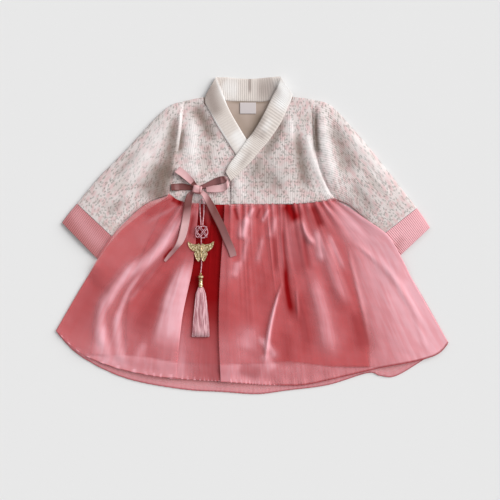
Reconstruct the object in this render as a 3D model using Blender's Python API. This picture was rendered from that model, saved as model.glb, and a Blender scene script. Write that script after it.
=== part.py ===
"""A baby's korean hanbok dress laid flat on a surface, front side up.

Lengths are millimetres until a mesh is made, in metres. +X runs to the wearer's left sleeve,
+Y to the collar and +Z up from the surface, which is z = 0.
Cloth pieces are closed walls. Each piece that lies on another is raised over it by CLEARANCE.
"""

import math
from collections import namedtuple

import bmesh
import bpy
import numpy as np
from mathutils import Vector
from mathutils.bvhtree import BVHTree

MM = 0.001
CLEARANCE = 0.3
CLOTH_WALL = 1.2
ORGANZA_WALL = 1.0
RIB_HEIGHT = 0.4
PANEL_ROWS = 5
JACQUARD_RIB_PITCH = 2.6
CUFF_RIB_PITCH = 2.6
COLLAR_RIB_PITCH = 2.9

# Levels of the pieces that lie on each other, from the surface up
BACK_TOP = CLOTH_WALL
UNDER_FRONT_LEVEL = BACK_TOP + CLEARANCE
OVER_FRONT_LEVEL = UNDER_FRONT_LEVEL + CLOTH_WALL + RIB_HEIGHT + 2 * CLEARANCE
FRONT_CROWN = 1.6
LINING_LEVEL = ORGANZA_WALL + CLEARANCE
LINING_TOP = LINING_LEVEL + 2 * ORGANZA_WALL + CLEARANCE

# Collar band
BAND_THICKNESS = 2.0
UNDER_BAND_LEVEL = 2.9
OVER_BAND_LEVEL = 5.8
BACK_BAND_TOP = 2.0

# Sleeves and cuffs
SLEEVE_EDGE_TOP = 1.7
SLEEVE_RIB_SPREAD = 1.5
SLEEVE_INSIDE_MOST = 3.6
SLEEVE_WALL_MOST = 2.8
CUFF_TOP = 5.2

# Skirt
GATHERS = 24
GATHER_HEIGHT = 3.0
GATHER_FADE = 0.13
OVERLAP_LIFT = 3.6
OVERLAP_HALF_SHARE = 0.018
OVERLAP_SWING_WAIST = 3.2
OVERLAP_SWING_HEM = 9.5
SKIRT_EDGE_LEVEL = 1.9
SKIRT_LEVEL = LINING_TOP + CLEARANCE + ORGANZA_WALL / 2 + 0.15
SKIRT_OVER_SLEEVE = 7.6

# Ribbon tie and pendant
RIBBON_WALL = 1.0
PENDANT_CORD = 1.4
TASSEL_LENGTH = 68.0
TASSEL_STRANDS_ACROSS = 14
TASSEL_LAYERS = 3

Column = namedtuple("Column", "waist_x waist_y top_x top_y flare")
Section = namedtuple("Section", "upper_x upper_y lower_x lower_y height")
Run = namedtuple("Run", "waist_x waist_y high_x high_y low_x low_y hem_x hem_y")
Ridge = namedtuple("Ridge", "x0 y0 x1 y1 half_width height")
Lay = namedtuple("Lay", "x y half_width rise")
Pair = namedtuple("Pair", "inner_x inner_y outer_x outer_y")

# Bodice panels: how far each line of ribs runs, from the waist to the armhole, shoulder or collar.
# flare above 1 keeps the line straight up and swings it out only near the waist, as an armhole does
BACK_COLUMNS = (
    Column(-116.3, 56.4, -96.3, 187.2, 1.4),
    Column(-100.0, 46.0, -84.0, 190.0, 1.2),
    Column(-84.0, 43.5, -66.5, 193.2, 1.0),
    Column(-66.0, 42.0, -52.0, 187.8, 1.0),
    Column(-38.0, 41.0, -36.4, 186.6, 1.0),
    Column(0.0, 42.0, 0.0, 186.2, 1.0),
    Column(38.0, 43.0, 30.0, 186.6, 1.0),
    Column(66.0, 43.4, 56.0, 194.0, 1.0),
    Column(92.0, 46.2, 73.0, 191.6, 1.6),
    Column(116.0, 50.4, 86.2, 189.4, 3.2),
)
UNDER_FRONT_COLUMNS = (
    Column(-116.3, 56.4, -96.3, 187.2, 1.4),
    Column(-104.0, 48.0, -86.0, 189.8, 1.3),
    Column(-90.0, 44.2, -68.5, 193.0, 1.2),
    Column(-84.0, 43.5, -66.9, 184.0, 1.1),
    Column(-68.0, 42.0, -53.2, 158.6, 1.0),
    Column(-50.0, 40.7, -39.3, 136.0, 1.0),
    Column(-32.0, 40.5, -26.5, 116.0, 1.0),
    Column(-12.0, 41.0, -9.5, 89.5, 1.0),
    Column(14.0, 41.4, 14.0, 62.0, 1.0),
)
OVER_FRONT_COLUMNS = (
    Column(-29.4, 43.4, -29.4, 73.0, 1.0),
    Column(-14.0, 43.2, -14.0, 91.0, 1.0),
    Column(4.6, 43.0, 4.6, 106.2, 1.0),
    Column(15.8, 43.0, 15.4, 121.2, 1.0),
    Column(33.0, 43.2, 32.2, 141.0, 1.0),
    Column(50.0, 43.2, 48.2, 169.6, 1.0),
    Column(60.0, 43.3, 57.6, 193.0, 1.0),
    Column(90.0, 46.0, 72.0, 191.6, 1.7),
    Column(116.0, 50.4, 86.2, 189.4, 3.2),
)

# Sleeves, from the armhole to the cuff, and cuffs, to the wrist: the flattened tube's two edges
LEFT_SLEEVE = (
    Section(-96.3, 187.2, -116.3, 56.4, 6.8),
    Section(-112.0, 183.0, -127.0, 52.6, 7.8),
    Section(-131.0, 168.3, -141.4, 47.6, 7.6),
    Section(-157.8, 139.6, -155.4, 38.6, 7.4),
    Section(-182.8, 112.8, -169.6, 27.4, 7.2),
    Section(-211.4, 84.3, -182.6, 15.8, 7.0),
    Section(-229.6, 63.0, -190.0, 6.4, 6.6),
    Section(-245.3, 44.1, -195.6, -2.5, 5.6),
)
RIGHT_SLEEVE = (
    Section(86.2, 189.4, 116.0, 50.4, 7.0),
    Section(104.6, 185.2, 125.4, 46.8, 8.0),
    Section(119.6, 173.6, 133.0, 43.4, 7.8),
    Section(137.2, 154.3, 141.0, 38.4, 7.6),
    Section(165.6, 121.2, 152.2, 28.2, 7.4),
    Section(195.2, 83.9, 163.8, 15.2, 7.2),
    Section(213.6, 60.2, 171.4, 6.2, 6.8),
    Section(230.9, 38.1, 179.1, -2.5, 5.8),
)
LEFT_CUFF = (
    Section(-245.6, 43.8, -195.9, -2.8, CUFF_TOP),
    Section(-256.4, 31.0, -206.4, -18.6, CUFF_TOP),
    Section(-266.5, 17.4, -216.8, -33.4, CUFF_TOP - 0.6),
)
RIGHT_CUFF = (
    Section(231.2, 37.8, 179.4, -2.8, CUFF_TOP),
    Section(240.8, 24.4, 192.2, -17.0, CUFF_TOP),
    Section(249.6, 10.6, 205.4, -31.0, CUFF_TOP - 0.6),
)
# Soft pleats of a sleeve's puffed head: where across the sleeve, how far down it, how high
HeadPleat = namedtuple("HeadPleat", "across half_width reach height")
HEAD_PLEATS = (
    HeadPleat(0.14, 0.05, 0.16, 1.4),
    HeadPleat(0.30, 0.06, 0.24, 1.6),
    HeadPleat(0.47, 0.06, 0.20, 1.3),
    HeadPleat(0.66, 0.07, 0.16, 1.0),
)

# Collar band, from the shoulder fold to its end: inner edge at the neck, outer edge at the seam
UNDER_BAND = (
    Pair(-50.0, 221.9, -65.0, 195.8),
    Pair(-43.4, 205.8, -66.1, 186.0),
    Pair(-38.1, 190.4, -60.2, 174.3),
    Pair(-30.5, 173.0, -52.4, 159.5),
    Pair(-16.7, 149.0, -38.5, 136.8),
    Pair(1.6, 119.8, -19.4, 107.6),
)
OVER_BAND = (
    Pair(38.9, 222.3, 56.7, 196.7),
    Pair(36.1, 208.6, 54.6, 187.6),
    Pair(28.3, 193.8, 49.7, 177.8),
    Pair(17.5, 171.2, 39.9, 156.1),
    Pair(2.7, 145.7, 23.1, 131.6),
    Pair(-8.1, 131.9, 11.9, 118.3),
    Pair(-21.7, 113.0, -2.8, 100.8),
    Pair(-32.4, 98.4, -16.8, 87.6),
    Pair(-37.0, 88.2, -29.6, 75.4),
)
BACK_BAND = (
    Pair(-49.6, 221.2, -62.0, 194.6),
    Pair(-36.4, 221.4, -38.0, 188.9),
    Pair(-19.6, 219.8, -19.6, 187.6),
    Pair(0.0, 219.2, 0.0, 187.2),
    Pair(17.0, 220.6, 19.0, 187.6),
    Pair(37.8, 222.6, 51.0, 194.2),
)
TAG_LEFT, TAG_RIGHT, TAG_TOP, TAG_BOTTOM = -16.9, 5.6, 184.6, 168.8

# Lines down the organza skirt's front, from the waist seam to the rolled hem
FRONT_RUNS = (
    Run(-116.3, 55.4, -185.5, 9.5, -231.0, -59.0, -274.6, -134.0),
    Run(-106.4, 47.8, -157.6, -6.2, -208.6, -85.4, -242.2, -163.8),
    Run(-95.3, 43.8, -131.6, -18.2, -173.6, -102.2, -196.0, -184.1),
    Run(-86.8, 42.6, -107.8, -26.6, -138.6, -113.4, -147.0, -195.4),
    Run(-75.4, 41.4, -84.0, -38.5, -101.4, -116.2, -110.0, -200.3),
    Run(-58.8, 40.4, -64.4, -38.0, -74.2, -119.0, -77.0, -202.8),
    Run(-37.0, 40.0, -39.6, -36.4, -40.2, -119.0, -37.4, -205.1),
    Run(-9.8, 41.2, -8.4, -37.8, -2.8, -121.8, 5.6, -208.9),
    Run(14.0, 41.8, 22.4, -37.8, 33.6, -119.0, 43.4, -210.4),
    Run(40.6, 42.2, 46.2, -37.8, 63.0, -116.2, 75.6, -209.4),
    Run(67.2, 42.4, 86.8, -32.2, 110.6, -112.0, 124.6, -198.8),
    Run(89.6, 44.4, 120.4, -21.0, 154.0, -102.2, 182.0, -185.4),
    Run(105.0, 47.0, 154.0, -7.0, 193.2, -88.2, 235.2, -175.2),
    Run(110.6, 48.6, 168.0, 2.8, 210.0, -77.0, 262.0, -165.6),
    Run(116.2, 49.4, 181.0, 12.6, 225.4, -63.0, 275.4, -151.0),
)
LEFT_OVERLAP_RUN = 4
RIGHT_OVERLAP_RUN = 6
# The back layer reaches lower than the front and swells into a wave at the lower right corner
BACK_RUNS = (
    Run(-116.3, 55.4, -184.0, 6.0, -231.0, -59.0, -275.5, -134.4),
    Run(-104.0, 46.4, -150.0, -12.0, -200.0, -96.0, -241.8, -168.6),
    Run(-92.0, 43.0, -118.0, -24.0, -156.0, -110.0, -178.9, -199.9),
    Run(-66.0, 41.6, -78.0, -34.0, -98.0, -124.0, -100.4, -215.6),
    Run(-29.0, 40.4, -34.0, -38.0, -42.0, -126.0, -41.4, -219.7),
    Run(0.0, 41.2, 2.0, -38.0, 6.0, -126.0, 8.0, -222.6),
    Run(30.0, 42.0, 38.0, -38.0, 52.0, -122.0, 50.0, -217.6),
    Run(62.0, 42.2, 84.0, -32.0, 104.0, -116.0, 107.0, -209.9),
    Run(84.0, 44.0, 112.0, -24.0, 142.0, -106.0, 162.0, -193.3),
    Run(94.0, 45.4, 130.0, -16.0, 160.0, -100.0, 180.0, -197.2),
    Run(102.0, 46.6, 146.0, -8.0, 178.0, -94.0, 200.3, -198.0),
    Run(109.0, 48.0, 160.0, -2.0, 198.0, -86.0, 231.4, -180.6),
    Run(116.2, 49.4, 175.0, 4.0, 225.4, -63.0, 275.5, -151.0),
)
LINING_RUNS = (
    Run(-114.0, 53.0, -148.0, -14.0, -172.0, -84.0, -177.0, -168.0),
    Run(-96.0, 44.0, -118.0, -22.0, -138.0, -96.0, -144.0, -171.4),
    Run(-66.0, 40.2, -80.0, -30.0, -98.0, -106.0, -100.8, -179.0),
    Run(-29.0, 38.6, -36.0, -34.0, -42.0, -108.0, -43.4, -180.6),
    Run(0.0, 39.4, 4.0, -34.0, 10.0, -108.0, 9.8, -180.6),
    Run(40.0, 41.0, 44.0, -34.0, 50.0, -106.0, 51.8, -177.2),
    Run(80.0, 43.6, 92.0, -30.0, 108.0, -104.0, 112.0, -184.2),
    Run(114.0, 48.4, 131.0, -16.0, 151.0, -96.0, 163.8, -184.8),
)

# The skirt's long soft folds, each along a straight stretch
RIDGES = (
    Ridge(-104.0, 30.0, -150.0, -34.0, 8.0, 3.6),
    Ridge(-146.0, -24.0, -186.0, -64.0, 9.0, 4.2),
    Ridge(-206.0, -88.0, -199.0, -172.0, 10.0, 3.8),
    Ridge(-170.0, -60.0, -208.0, -112.0, 9.0, 3.4),
    Ridge(-88.0, -36.0, -124.0, -126.0, 8.0, 3.6),
    Ridge(-134.0, -58.0, -186.0, -146.0, 8.0, 3.4),
    Ridge(-10.0, 30.0, -7.0, -6.0, 8.0, 3.2),
    Ridge(36.0, 24.0, 42.0, -70.0, 7.0, 3.6),
    Ridge(56.0, -6.0, 72.0, -108.0, 7.0, 4.6),
    Ridge(38.0, -72.0, 17.0, -174.0, 9.0, 4.2),
    Ridge(70.0, 27.0, 85.0, -14.0, 6.0, 3.6),
    Ridge(95.0, 22.0, 124.0, -90.0, 8.0, 4.0),
    Ridge(134.0, -14.0, 164.0, -150.0, 8.0, 3.0),
    Ridge(166.0, -36.0, 212.0, -136.0, 10.0, 3.0),
    Ridge(204.0, -72.0, 246.0, -160.0, 9.0, 2.4),
    Ridge(90.0, -110.0, 92.0, -190.0, 11.0, 2.2),
)

# Ribbon tie: the route of each stretch, its half width, and how far it rises over what it lies on
LEFT_ANCHOR = (
    Lay(-113.0, 66.5, 4.6, 0.0),
    Lay(-98.0, 67.6, 4.8, 0.0),
    Lay(-88.0, 66.4, 3.8, 0.0),
    Lay(-80.6, 65.2, 2.0, 0.0),
)
LEFT_LOOP = (
    Lay(-78.0, 67.6, 2.4, 0.0),
    Lay(-86.0, 76.0, 4.4, 0.2),
    Lay(-95.0, 84.0, 5.4, 0.6),
    Lay(-101.6, 89.6, 5.4, 1.0),
    Lay(-104.4, 91.6, 5.4, 2.8),
    Lay(-101.4, 89.4, 5.4, 4.6),
    Lay(-95.0, 84.6, 5.2, 4.8),
    Lay(-89.0, 79.0, 4.6, 4.2),
    Lay(-83.6, 73.0, 3.4, 3.4),
)
RIGHT_LOOP = (
    Lay(-73.0, 67.0, 2.4, 0.0),
    Lay(-63.0, 71.4, 4.0, 0.2),
    Lay(-51.0, 76.4, 4.8, 0.6),
    Lay(-40.0, 77.6, 5.0, 1.2),
    Lay(-33.4, 75.0, 5.2, 2.8),
    Lay(-34.6, 69.6, 5.2, 4.8),
    Lay(-42.0, 64.6, 5.0, 5.0),
    Lay(-54.0, 63.4, 4.8, 4.6),
    Lay(-64.0, 63.2, 3.4, 3.6),
)
LEFT_TAIL = (
    Lay(-81.4, 62.0, 2.0, 0.0),
    Lay(-86.6, 56.0, 4.0, 0.0),
    Lay(-89.0, 46.0, 5.2, 0.0),
    Lay(-91.2, 30.0, 5.25, 0.0),
    Lay(-94.0, 12.0, 5.25, 0.0),
    Lay(-98.8, -6.0, 5.25, 0.0),
    Lay(-106.0, -18.0, 5.0, 0.0),
    Lay(-114.8, -28.0, 4.8, 0.0),
    Lay(-122.0, -36.6, 4.6, 0.0),
)
RIGHT_TAIL = (
    Lay(-73.4, 61.4, 2.2, 0.0),
    Lay(-66.0, 55.6, 4.0, 0.0),
    Lay(-58.4, 42.6, 5.2, 0.0),
    Lay(-50.0, 26.0, 5.25, 0.0),
    Lay(-42.0, 10.0, 5.25, 0.0),
    Lay(-35.4, -6.0, 5.25, 0.0),
    Lay(-29.0, -20.4, 5.25, 0.0),
    Lay(-26.0, -30.0, 4.8, 0.0),
)
KNOT_CENTRE = (-76.4, 63.2)
KNOT_HALF = 6.6
KNOT_HEIGHT = 4.0

# Pendant, down its own middle line
LOOP_TOP_Y = 50.0
LOOP_HALF_GAP = 2.6
MAEDEUP_CENTRE = (-70.4, 4.2)
MAEDEUP_REACH = 9.3
BUTTERFLY_CENTRE = (-71.4, -22.4)
BUTTERFLY_HALF_OUTLINE = (
    (0.0, 9.8), (6.0, 9.2), (13.0, 10.0), (17.8, 12.9), (16.4, 5.4),
    (10.8, 0.2), (8.2, -3.8), (6.2, -12.2), (2.8, -14.0), (0.0, -9.2),
)
BUTTERFLY_THICKNESS = 1.4
BEAD_Y = -54.4
BEAD_RADIUS = 1.6
RING_Y = -58.6
RING_RADIUS = 3.9
RING_HALF_HEIGHT = 2.2
CAP_TOP_Y = -61.2
CAP_LENGTH = 11.4
CAP_RADIUS = 3.0
PENDANT_X = (-70.0, -71.0, -71.6)


def clear_scene():
    for thing in list(bpy.data.objects):
        bpy.data.objects.remove(thing, do_unlink=True)


def finish(name, colour, roughness, metallic=0.0):
    """A plain material for one piece."""
    made = bpy.data.materials.new(name)
    made.use_nodes = True
    shader = made.node_tree.nodes["Principled BSDF"]
    shader.inputs["Base Color"].default_value = (*colour, 1.0)
    shader.inputs["Roughness"].default_value = roughness
    shader.inputs["Metallic"].default_value = metallic
    return made


JACQUARD = (0.83, 0.76, 0.73)
RIB_KNIT_CREAM = (0.86, 0.80, 0.76)
JERSEY = (0.70, 0.60, 0.52)
ORGANZA = (0.72, 0.16, 0.20)
LINING_CORAL = (0.66, 0.13, 0.15)
CUFF_PINK = (0.56, 0.24, 0.24)
RIBBON_PINK = (0.55, 0.22, 0.21)
CORD_MAUVE = (0.52, 0.24, 0.27)
GOLD = (0.60, 0.46, 0.20)
SILK_PINK = (0.68, 0.36, 0.38)


class Laid:
    """The pieces made so far, so that the next can be laid on them."""

    trees = []

    @classmethod
    def top_near(cls, x, y, reach):
        """Highest surface within reach of a place, or the surface the dress lies on."""
        highest = 0.0
        steps = (-1.0, -0.5, 0.0, 0.5, 1.0)
        for i in steps:
            for j in steps:
                start = Vector((x + i * reach, y + j * reach, 80.0))
                for tree in cls.trees:
                    hit = tree.ray_cast(start, Vector((0.0, 0.0, -1.0)))[0]
                    if hit is not None:
                        highest = max(highest, hit.z)
        return highest


def solid(name, points, faces, look, carries=True):
    """A closed piece from points in millimetres, its faces turned outwards."""
    mesh = bpy.data.meshes.new(name)
    shape = bmesh.new()
    corners = [shape.verts.new(Vector(point) * MM) for point in points]
    for face in faces:
        shape.faces.new([corners[i] for i in face])
    bmesh.ops.triangulate(shape, faces=shape.faces[:])
    bmesh.ops.recalc_face_normals(shape, faces=shape.faces[:])
    for face in shape.faces:
        face.smooth = True
    if carries:
        bare = [tuple(vert.co / MM) for vert in shape.verts]
        shape.verts.index_update()
        Laid.trees.append(BVHTree.FromPolygons(bare, [[v.index for v in f.verts] for f in shape.faces]))
    shape.to_mesh(mesh)
    shape.free()
    mesh.set_sharp_from_angle(angle=math.radians(50.0))
    mesh.materials.append(look)
    made = bpy.data.objects.new(name, mesh)
    bpy.context.scene.collection.objects.link(made)
    return made


def zip_lines(first, second, first_at=None, second_at=None):
    """Triangles between two lines of points, which may have different counts. Their places run from 0 to 1."""
    first_at = np.linspace(0.0, 1.0, len(first)) if first_at is None else first_at
    second_at = np.linspace(0.0, 1.0, len(second)) if second_at is None else second_at
    faces = []
    i = j = 0
    while i < len(first) - 1 or j < len(second) - 1:
        second_done = j == len(second) - 1
        if second_done or (i < len(first) - 1 and first_at[i + 1] <= second_at[j + 1]):
            faces.append((first[i], first[i + 1], second[j]))
            i += 1
        else:
            faces.append((first[i], second[j + 1], second[j]))
            j += 1
    return faces


def grid_faces(start, rows, columns, around=False):
    faces = []
    for row in range(rows - 1):
        for column in range(columns if around else columns - 1):
            after = (column + 1) % columns
            here, below = start + row * columns, start + (row + 1) * columns
            faces.append((here + column, here + after, below + after, below + column))
    return faces


def shell(name, top, bottom, look, carries=True):
    """A wall between an upper and a lower grid of points, each (rows, columns, 3), closed at its rim."""
    top, bottom = np.asarray(top), np.asarray(bottom)
    rows, above, below = top.shape[0], top.shape[1], bottom.shape[1]
    offset = rows * above
    points = np.concatenate([top.reshape(-1, 3), bottom.reshape(-1, 3)])
    faces = grid_faces(0, rows, above)
    faces += [face[::-1] for face in grid_faces(offset, rows, below)]
    for row in (0, rows - 1):
        upper = [row * above + i for i in range(above)]
        lower = [offset + row * below + i for i in range(below)]
        faces += zip_lines(upper, lower)
    for upper_end, lower_end in ((0, 0), (above - 1, below - 1)):
        for row in range(rows - 1):
            here, there = row * above + upper_end, (row + 1) * above + upper_end
            under, under_next = offset + row * below + lower_end, offset + (row + 1) * below + lower_end
            faces.append((here, there, under_next, under))
    return solid(name, points, faces, look, carries)


def tube(name, outside, inside, look, outside_at=None, inside_at=None):
    """A wall between two closed rings in each row, open at both ends. Places run round the rings."""
    outside, inside = np.asarray(outside), np.asarray(inside)
    rows, outer, inner = outside.shape[0], outside.shape[1], inside.shape[1]
    offset = rows * outer
    points = np.concatenate([outside.reshape(-1, 3), inside.reshape(-1, 3)])
    faces = grid_faces(0, rows, outer, around=True)
    faces += [face[::-1] for face in grid_faces(offset, rows, inner, around=True)]
    for row in (0, rows - 1):
        ring = [row * outer + i % outer for i in range(outer + 1)]
        hole = [offset + row * inner + i % inner for i in range(inner + 1)]
        faces += zip_lines(ring, hole, outside_at, inside_at)
    return solid(name, points, faces, look)


def smooth_step(value):
    value = min(1.0, max(0.0, value))
    return value * value * (3.0 - 2.0 * value)


def through(values, place):
    """A smooth value at a place from 0 to 1 along evenly spaced values."""
    values = np.asarray(values, float)
    last = len(values) - 1
    spot = min(max(place, 0.0), 1.0) * last
    index = min(int(spot), last - 1)
    part = spot - index
    before = values[max(index - 1, 0)]
    after = values[min(index + 2, last)]
    here, there = values[index], values[index + 1]
    slope_here = (there - before) / 2.0
    slope_there = (after - here) / 2.0
    return (
        here * (1 + 2 * part) * (1 - part) ** 2
        + slope_here * part * (1 - part) ** 2
        + there * part * part * (3 - 2 * part)
        - slope_there * part * part * (1 - part)
    )


def rib(index):
    return RIB_HEIGHT if index % 2 else 0.0


def panel_line(columns, across):
    """The rib line at a share of a panel's waist width, as one column."""
    starts = np.array([column.waist_x for column in columns])
    x = starts[0] + across * (starts[-1] - starts[0])
    values = np.asarray(columns, float)
    return Column(*(np.interp(x, starts, values[:, i]) for i in range(values.shape[1])))


def panel_grid(columns, lines, level):
    """Points of one side of a bodice panel, its level given by across, up and the line's number."""
    rows = PANEL_ROWS
    grid = np.zeros((rows, lines, 3))
    for number in range(lines):
        across = number / (lines - 1)
        line = panel_line(columns, across)
        for row in range(rows):
            up = row / (rows - 1)
            side = (1.0 - up) ** line.flare
            grid[row, number, 0] = line.top_x + (line.waist_x - line.top_x) * side
            grid[row, number, 1] = line.waist_y + (line.top_y - line.waist_y) * up
            grid[row, number, 2] = level(across, up, number)
    return grid


def crown(across, up):
    """How a laid panel swells between its edges."""
    return FRONT_CROWN * math.sin(math.pi * across) ** 0.7 * math.sin(math.pi * (0.12 + 0.76 * up)) ** 0.7


def rib_lines(columns):
    width = columns[-1].waist_x - columns[0].waist_x
    return 2 * round(width / JACQUARD_RIB_PITCH) + 1


def build_bodice():
    back = finish("plain_jersey", JERSEY, 0.9)
    top = panel_grid(BACK_COLUMNS, 15, lambda across, up, number: BACK_TOP)
    bottom = panel_grid(BACK_COLUMNS, 15, lambda across, up, number: 0.0)
    shell("bodice_back", top, bottom, back)
    cloth = finish("flower_jacquard", JACQUARD, 0.85)
    for name, columns, base in (
        ("front_under", UNDER_FRONT_COLUMNS, UNDER_FRONT_LEVEL),
        ("front_over", OVER_FRONT_COLUMNS, OVER_FRONT_LEVEL),
    ):
        swell = 0.0 if name == "front_under" else 1.0
        lines = rib_lines(columns)
        top = panel_grid(
            columns, lines,
            lambda across, up, number: base + CLOTH_WALL + swell * crown(across, up) + rib(number),
        )
        bottom = panel_grid(columns, 19, lambda across, up, number: base + swell * crown(across, up))
        shell(name, top, bottom, cloth)


def armhole(columns, at_end, up):
    """A place on a panel's armhole edge, along the straight lengths between its rows of points."""
    line = columns[-1] if at_end else columns[0]
    rows = np.linspace(0.0, 1.0, PANEL_ROWS)
    edge = line.top_x + (line.waist_x - line.top_x) * (1.0 - rows) ** line.flare
    return np.array([np.interp(up, rows, edge), line.waist_y + (line.top_y - line.waist_y) * up])


def sleeve_point(sections, across, along, bend, shift):
    """A place on the flattened sleeve: across from its upper to its lower edge, along to the wrist.

    bend names the panel, and which of its ends, whose armhole the sleeve's root follows.
    """
    values = through(sections, along)
    upper, lower = np.array(values[0:2]), np.array(values[2:4])
    place = upper + (lower - upper) * across
    chord = np.array([sections[0].upper_x, sections[0].upper_y]) * (1 - across)
    chord = chord + np.array([sections[0].lower_x, sections[0].lower_y]) * across
    if bend is not None:
        columns, at_end = bend
        place = place + (armhole(columns, at_end, 1.0 - across) - chord) * (1.0 - along) ** 3
    return place + np.array([shift, 0.0]) * (1.0 - along) ** 6, values[4]


def head_pleats(across, along):
    raised = 0.0
    for pleat in HEAD_PLEATS:
        side = math.exp(-(((across - pleat.across) / pleat.half_width) ** 2))
        raised += pleat.height * side * math.exp(-((along / pleat.reach) ** 2))
    return raised


def tube_top(across, height):
    bulge = math.sqrt(max(0.0, 1.0 - abs(2.0 * across - 1.0) ** 3))
    return SLEEVE_EDGE_TOP + (height - SLEEVE_EDGE_TOP) * bulge


def build_flat_tube(name, sections, look, pitch, rows, bend=None, shift=0.0, pleated=False):
    """A sleeve or cuff lying flat: a ribbed upper side, a plain inside and a flat underside."""
    first = sections[0]
    width = math.dist((first.upper_x, first.upper_y), (first.lower_x, first.lower_y))
    across_count = 2 * round(width / pitch) + 1
    inner_count = 9
    outside, inside = [], []
    for row in range(rows):
        along = row / (rows - 1)
        ring, hole = [], []
        for number in range(across_count):
            across = number / (across_count - 1)
            place, height = sleeve_point(sections, across, along, bend, shift)
            top = tube_top(across, height) + rib(number)
            if pleated:
                top += head_pleats(across, along)
            ring.append((place[0], place[1], top))
        for number in range(7):
            place, height = sleeve_point(sections, 1.0 - number / 6.0, along, bend, shift)
            ring.append((place[0], place[1], 0.0))
        margin = 1.3 / width
        for number in range(inner_count):
            across = margin + (1.0 - 2.0 * margin) * number / (inner_count - 1)
            place, height = sleeve_point(sections, across, along, bend, shift)
            under_top = max(CLOTH_WALL + 0.05, tube_top(across, height) - SLEEVE_WALL_MOST)
            top = min(CLOTH_WALL + SLEEVE_INSIDE_MOST, under_top + CLOTH_WALL)
            end = number in (0, inner_count - 1)
            room = tube_top(across, height) - 1.2
            hole.append((place[0], place[1], CLOTH_WALL + 0.1 if end else min(top, room)))
        for number in range(inner_count - 2, 0, -1):
            across = margin + (1.0 - 2.0 * margin) * number / (inner_count - 1)
            place, height = sleeve_point(sections, across, along, bend, shift)
            hole.append((place[0], place[1], CLOTH_WALL))
        outside.append(ring)
        inside.append(hole)
    upper_at = np.linspace(0.0, 0.5, across_count)
    under_at = np.linspace(0.51, 0.99, 7)
    upper_hole_at = np.linspace(0.0, 0.5, inner_count)
    under_hole_at = np.linspace(0.5, 1.0, inner_count)[1:-1]
    outside_at = np.concatenate([upper_at, under_at, [1.0]])
    inside_at = np.concatenate([upper_hole_at, under_hole_at, [1.0]])
    tube(name, outside, inside, look, outside_at, inside_at)


def build_sleeves():
    cloth = finish("flower_jacquard_sleeve", JACQUARD, 0.85)
    knit = finish("cuff_rib", CUFF_PINK, 0.9)
    root_pitch = JACQUARD_RIB_PITCH * SLEEVE_RIB_SPREAD
    left_armhole, right_armhole = (UNDER_FRONT_COLUMNS, False), (OVER_FRONT_COLUMNS, True)
    build_flat_tube("sleeve_left", LEFT_SLEEVE, cloth, root_pitch, 8, left_armhole, -CLEARANCE, True)
    build_flat_tube("sleeve_right", RIGHT_SLEEVE, cloth, root_pitch, 8, right_armhole, CLEARANCE, True)
    build_flat_tube("cuff_left", LEFT_CUFF, knit, CUFF_RIB_PITCH, 3)
    build_flat_tube("cuff_right", RIGHT_CUFF, knit, CUFF_RIB_PITCH, 3)


def band_grid(pairs, lines, level, thickness, ribbed):
    """A collar band's side: ribs run across it, from its inner to its outer edge."""
    grid = np.zeros((3, lines, 3))
    for number in range(lines):
        place = number / (lines - 1)
        values = through(pairs, place)
        inner, outer = np.array(values[0:2]), np.array(values[2:4])
        for row, share in enumerate((0.0, 0.5, 1.0)):
            spot = inner + (outer - inner) * share
            swell = 0.5 * math.sin(math.pi * share) if thickness else 0.0
            grid[row, number] = (spot[0], spot[1], level + thickness + swell + (rib(number) if ribbed else 0.0))
    return grid


def build_collar():
    look = finish("collar_rib", RIB_KNIT_CREAM, 0.85)
    for name, pairs, level, thickness in (
        ("collar_back", BACK_BAND, 0.0, BACK_BAND_TOP),
        ("collar_under", UNDER_BAND, UNDER_BAND_LEVEL, BAND_THICKNESS),
        ("collar_over", OVER_BAND, OVER_BAND_LEVEL, BAND_THICKNESS),
    ):
        middles = [((p.inner_x + p.outer_x) / 2, (p.inner_y + p.outer_y) / 2) for p in pairs]
        length = sum(math.dist(a, b) for a, b in zip(middles, middles[1:]))
        lines = 2 * round(length / COLLAR_RIB_PITCH) + 1
        top = band_grid(pairs, lines, level, thickness, True)
        bottom = band_grid(pairs, 15, level, 0.0, False)
        shell(name, top, bottom, look)
    tag = finish("woven_tag", (0.72, 0.66, 0.66), 0.8)
    corners = [[(x, y) for x in (TAG_LEFT, TAG_RIGHT)] for y in (TAG_TOP, TAG_BOTTOM)]
    level = BACK_TOP + CLEARANCE
    top = [[(x, y, level + 1.0) for x, y in row] for row in corners]
    bottom = [[(x, y, level) for x, y in row] for row in corners]
    shell("neck_tag", top, bottom, tag)


def run_place(runs, share, down):
    """A place on a skirt layer: its share of the waist, and how far down to the hem."""
    starts = [run.waist_x for run in runs]
    x = starts[0] + share * (starts[-1] - starts[0])
    values = through(runs, float(np.interp(x, starts, np.linspace(0.0, 1.0, len(runs)))))
    return through(values.reshape(4, 2), down)


def ridge_height(x, y):
    raised = 0.0
    for ridge in RIDGES:
        along = np.array([ridge.x1 - ridge.x0, ridge.y1 - ridge.y0])
        length = math.hypot(*along)
        place = np.array([x - ridge.x0, y - ridge.y0])
        share = float(place @ along) / length**2
        off = abs(float(place[0] * along[1] - place[1] * along[0])) / length
        if -0.25 < share < 1.25:
            fade = smooth_step((share + 0.25) / 0.5) * smooth_step((1.25 - share) / 0.5)
            raised = max(raised, ridge.height * fade * math.exp(-((off / ridge.half_width) ** 2)))
    return raised


def overlap_shares():
    width = FRONT_RUNS[-1].waist_x - FRONT_RUNS[0].waist_x
    runs = (FRONT_RUNS[LEFT_OVERLAP_RUN], FRONT_RUNS[RIGHT_OVERLAP_RUN])
    return [(run.waist_x - FRONT_RUNS[0].waist_x) / width for run in runs]


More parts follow.
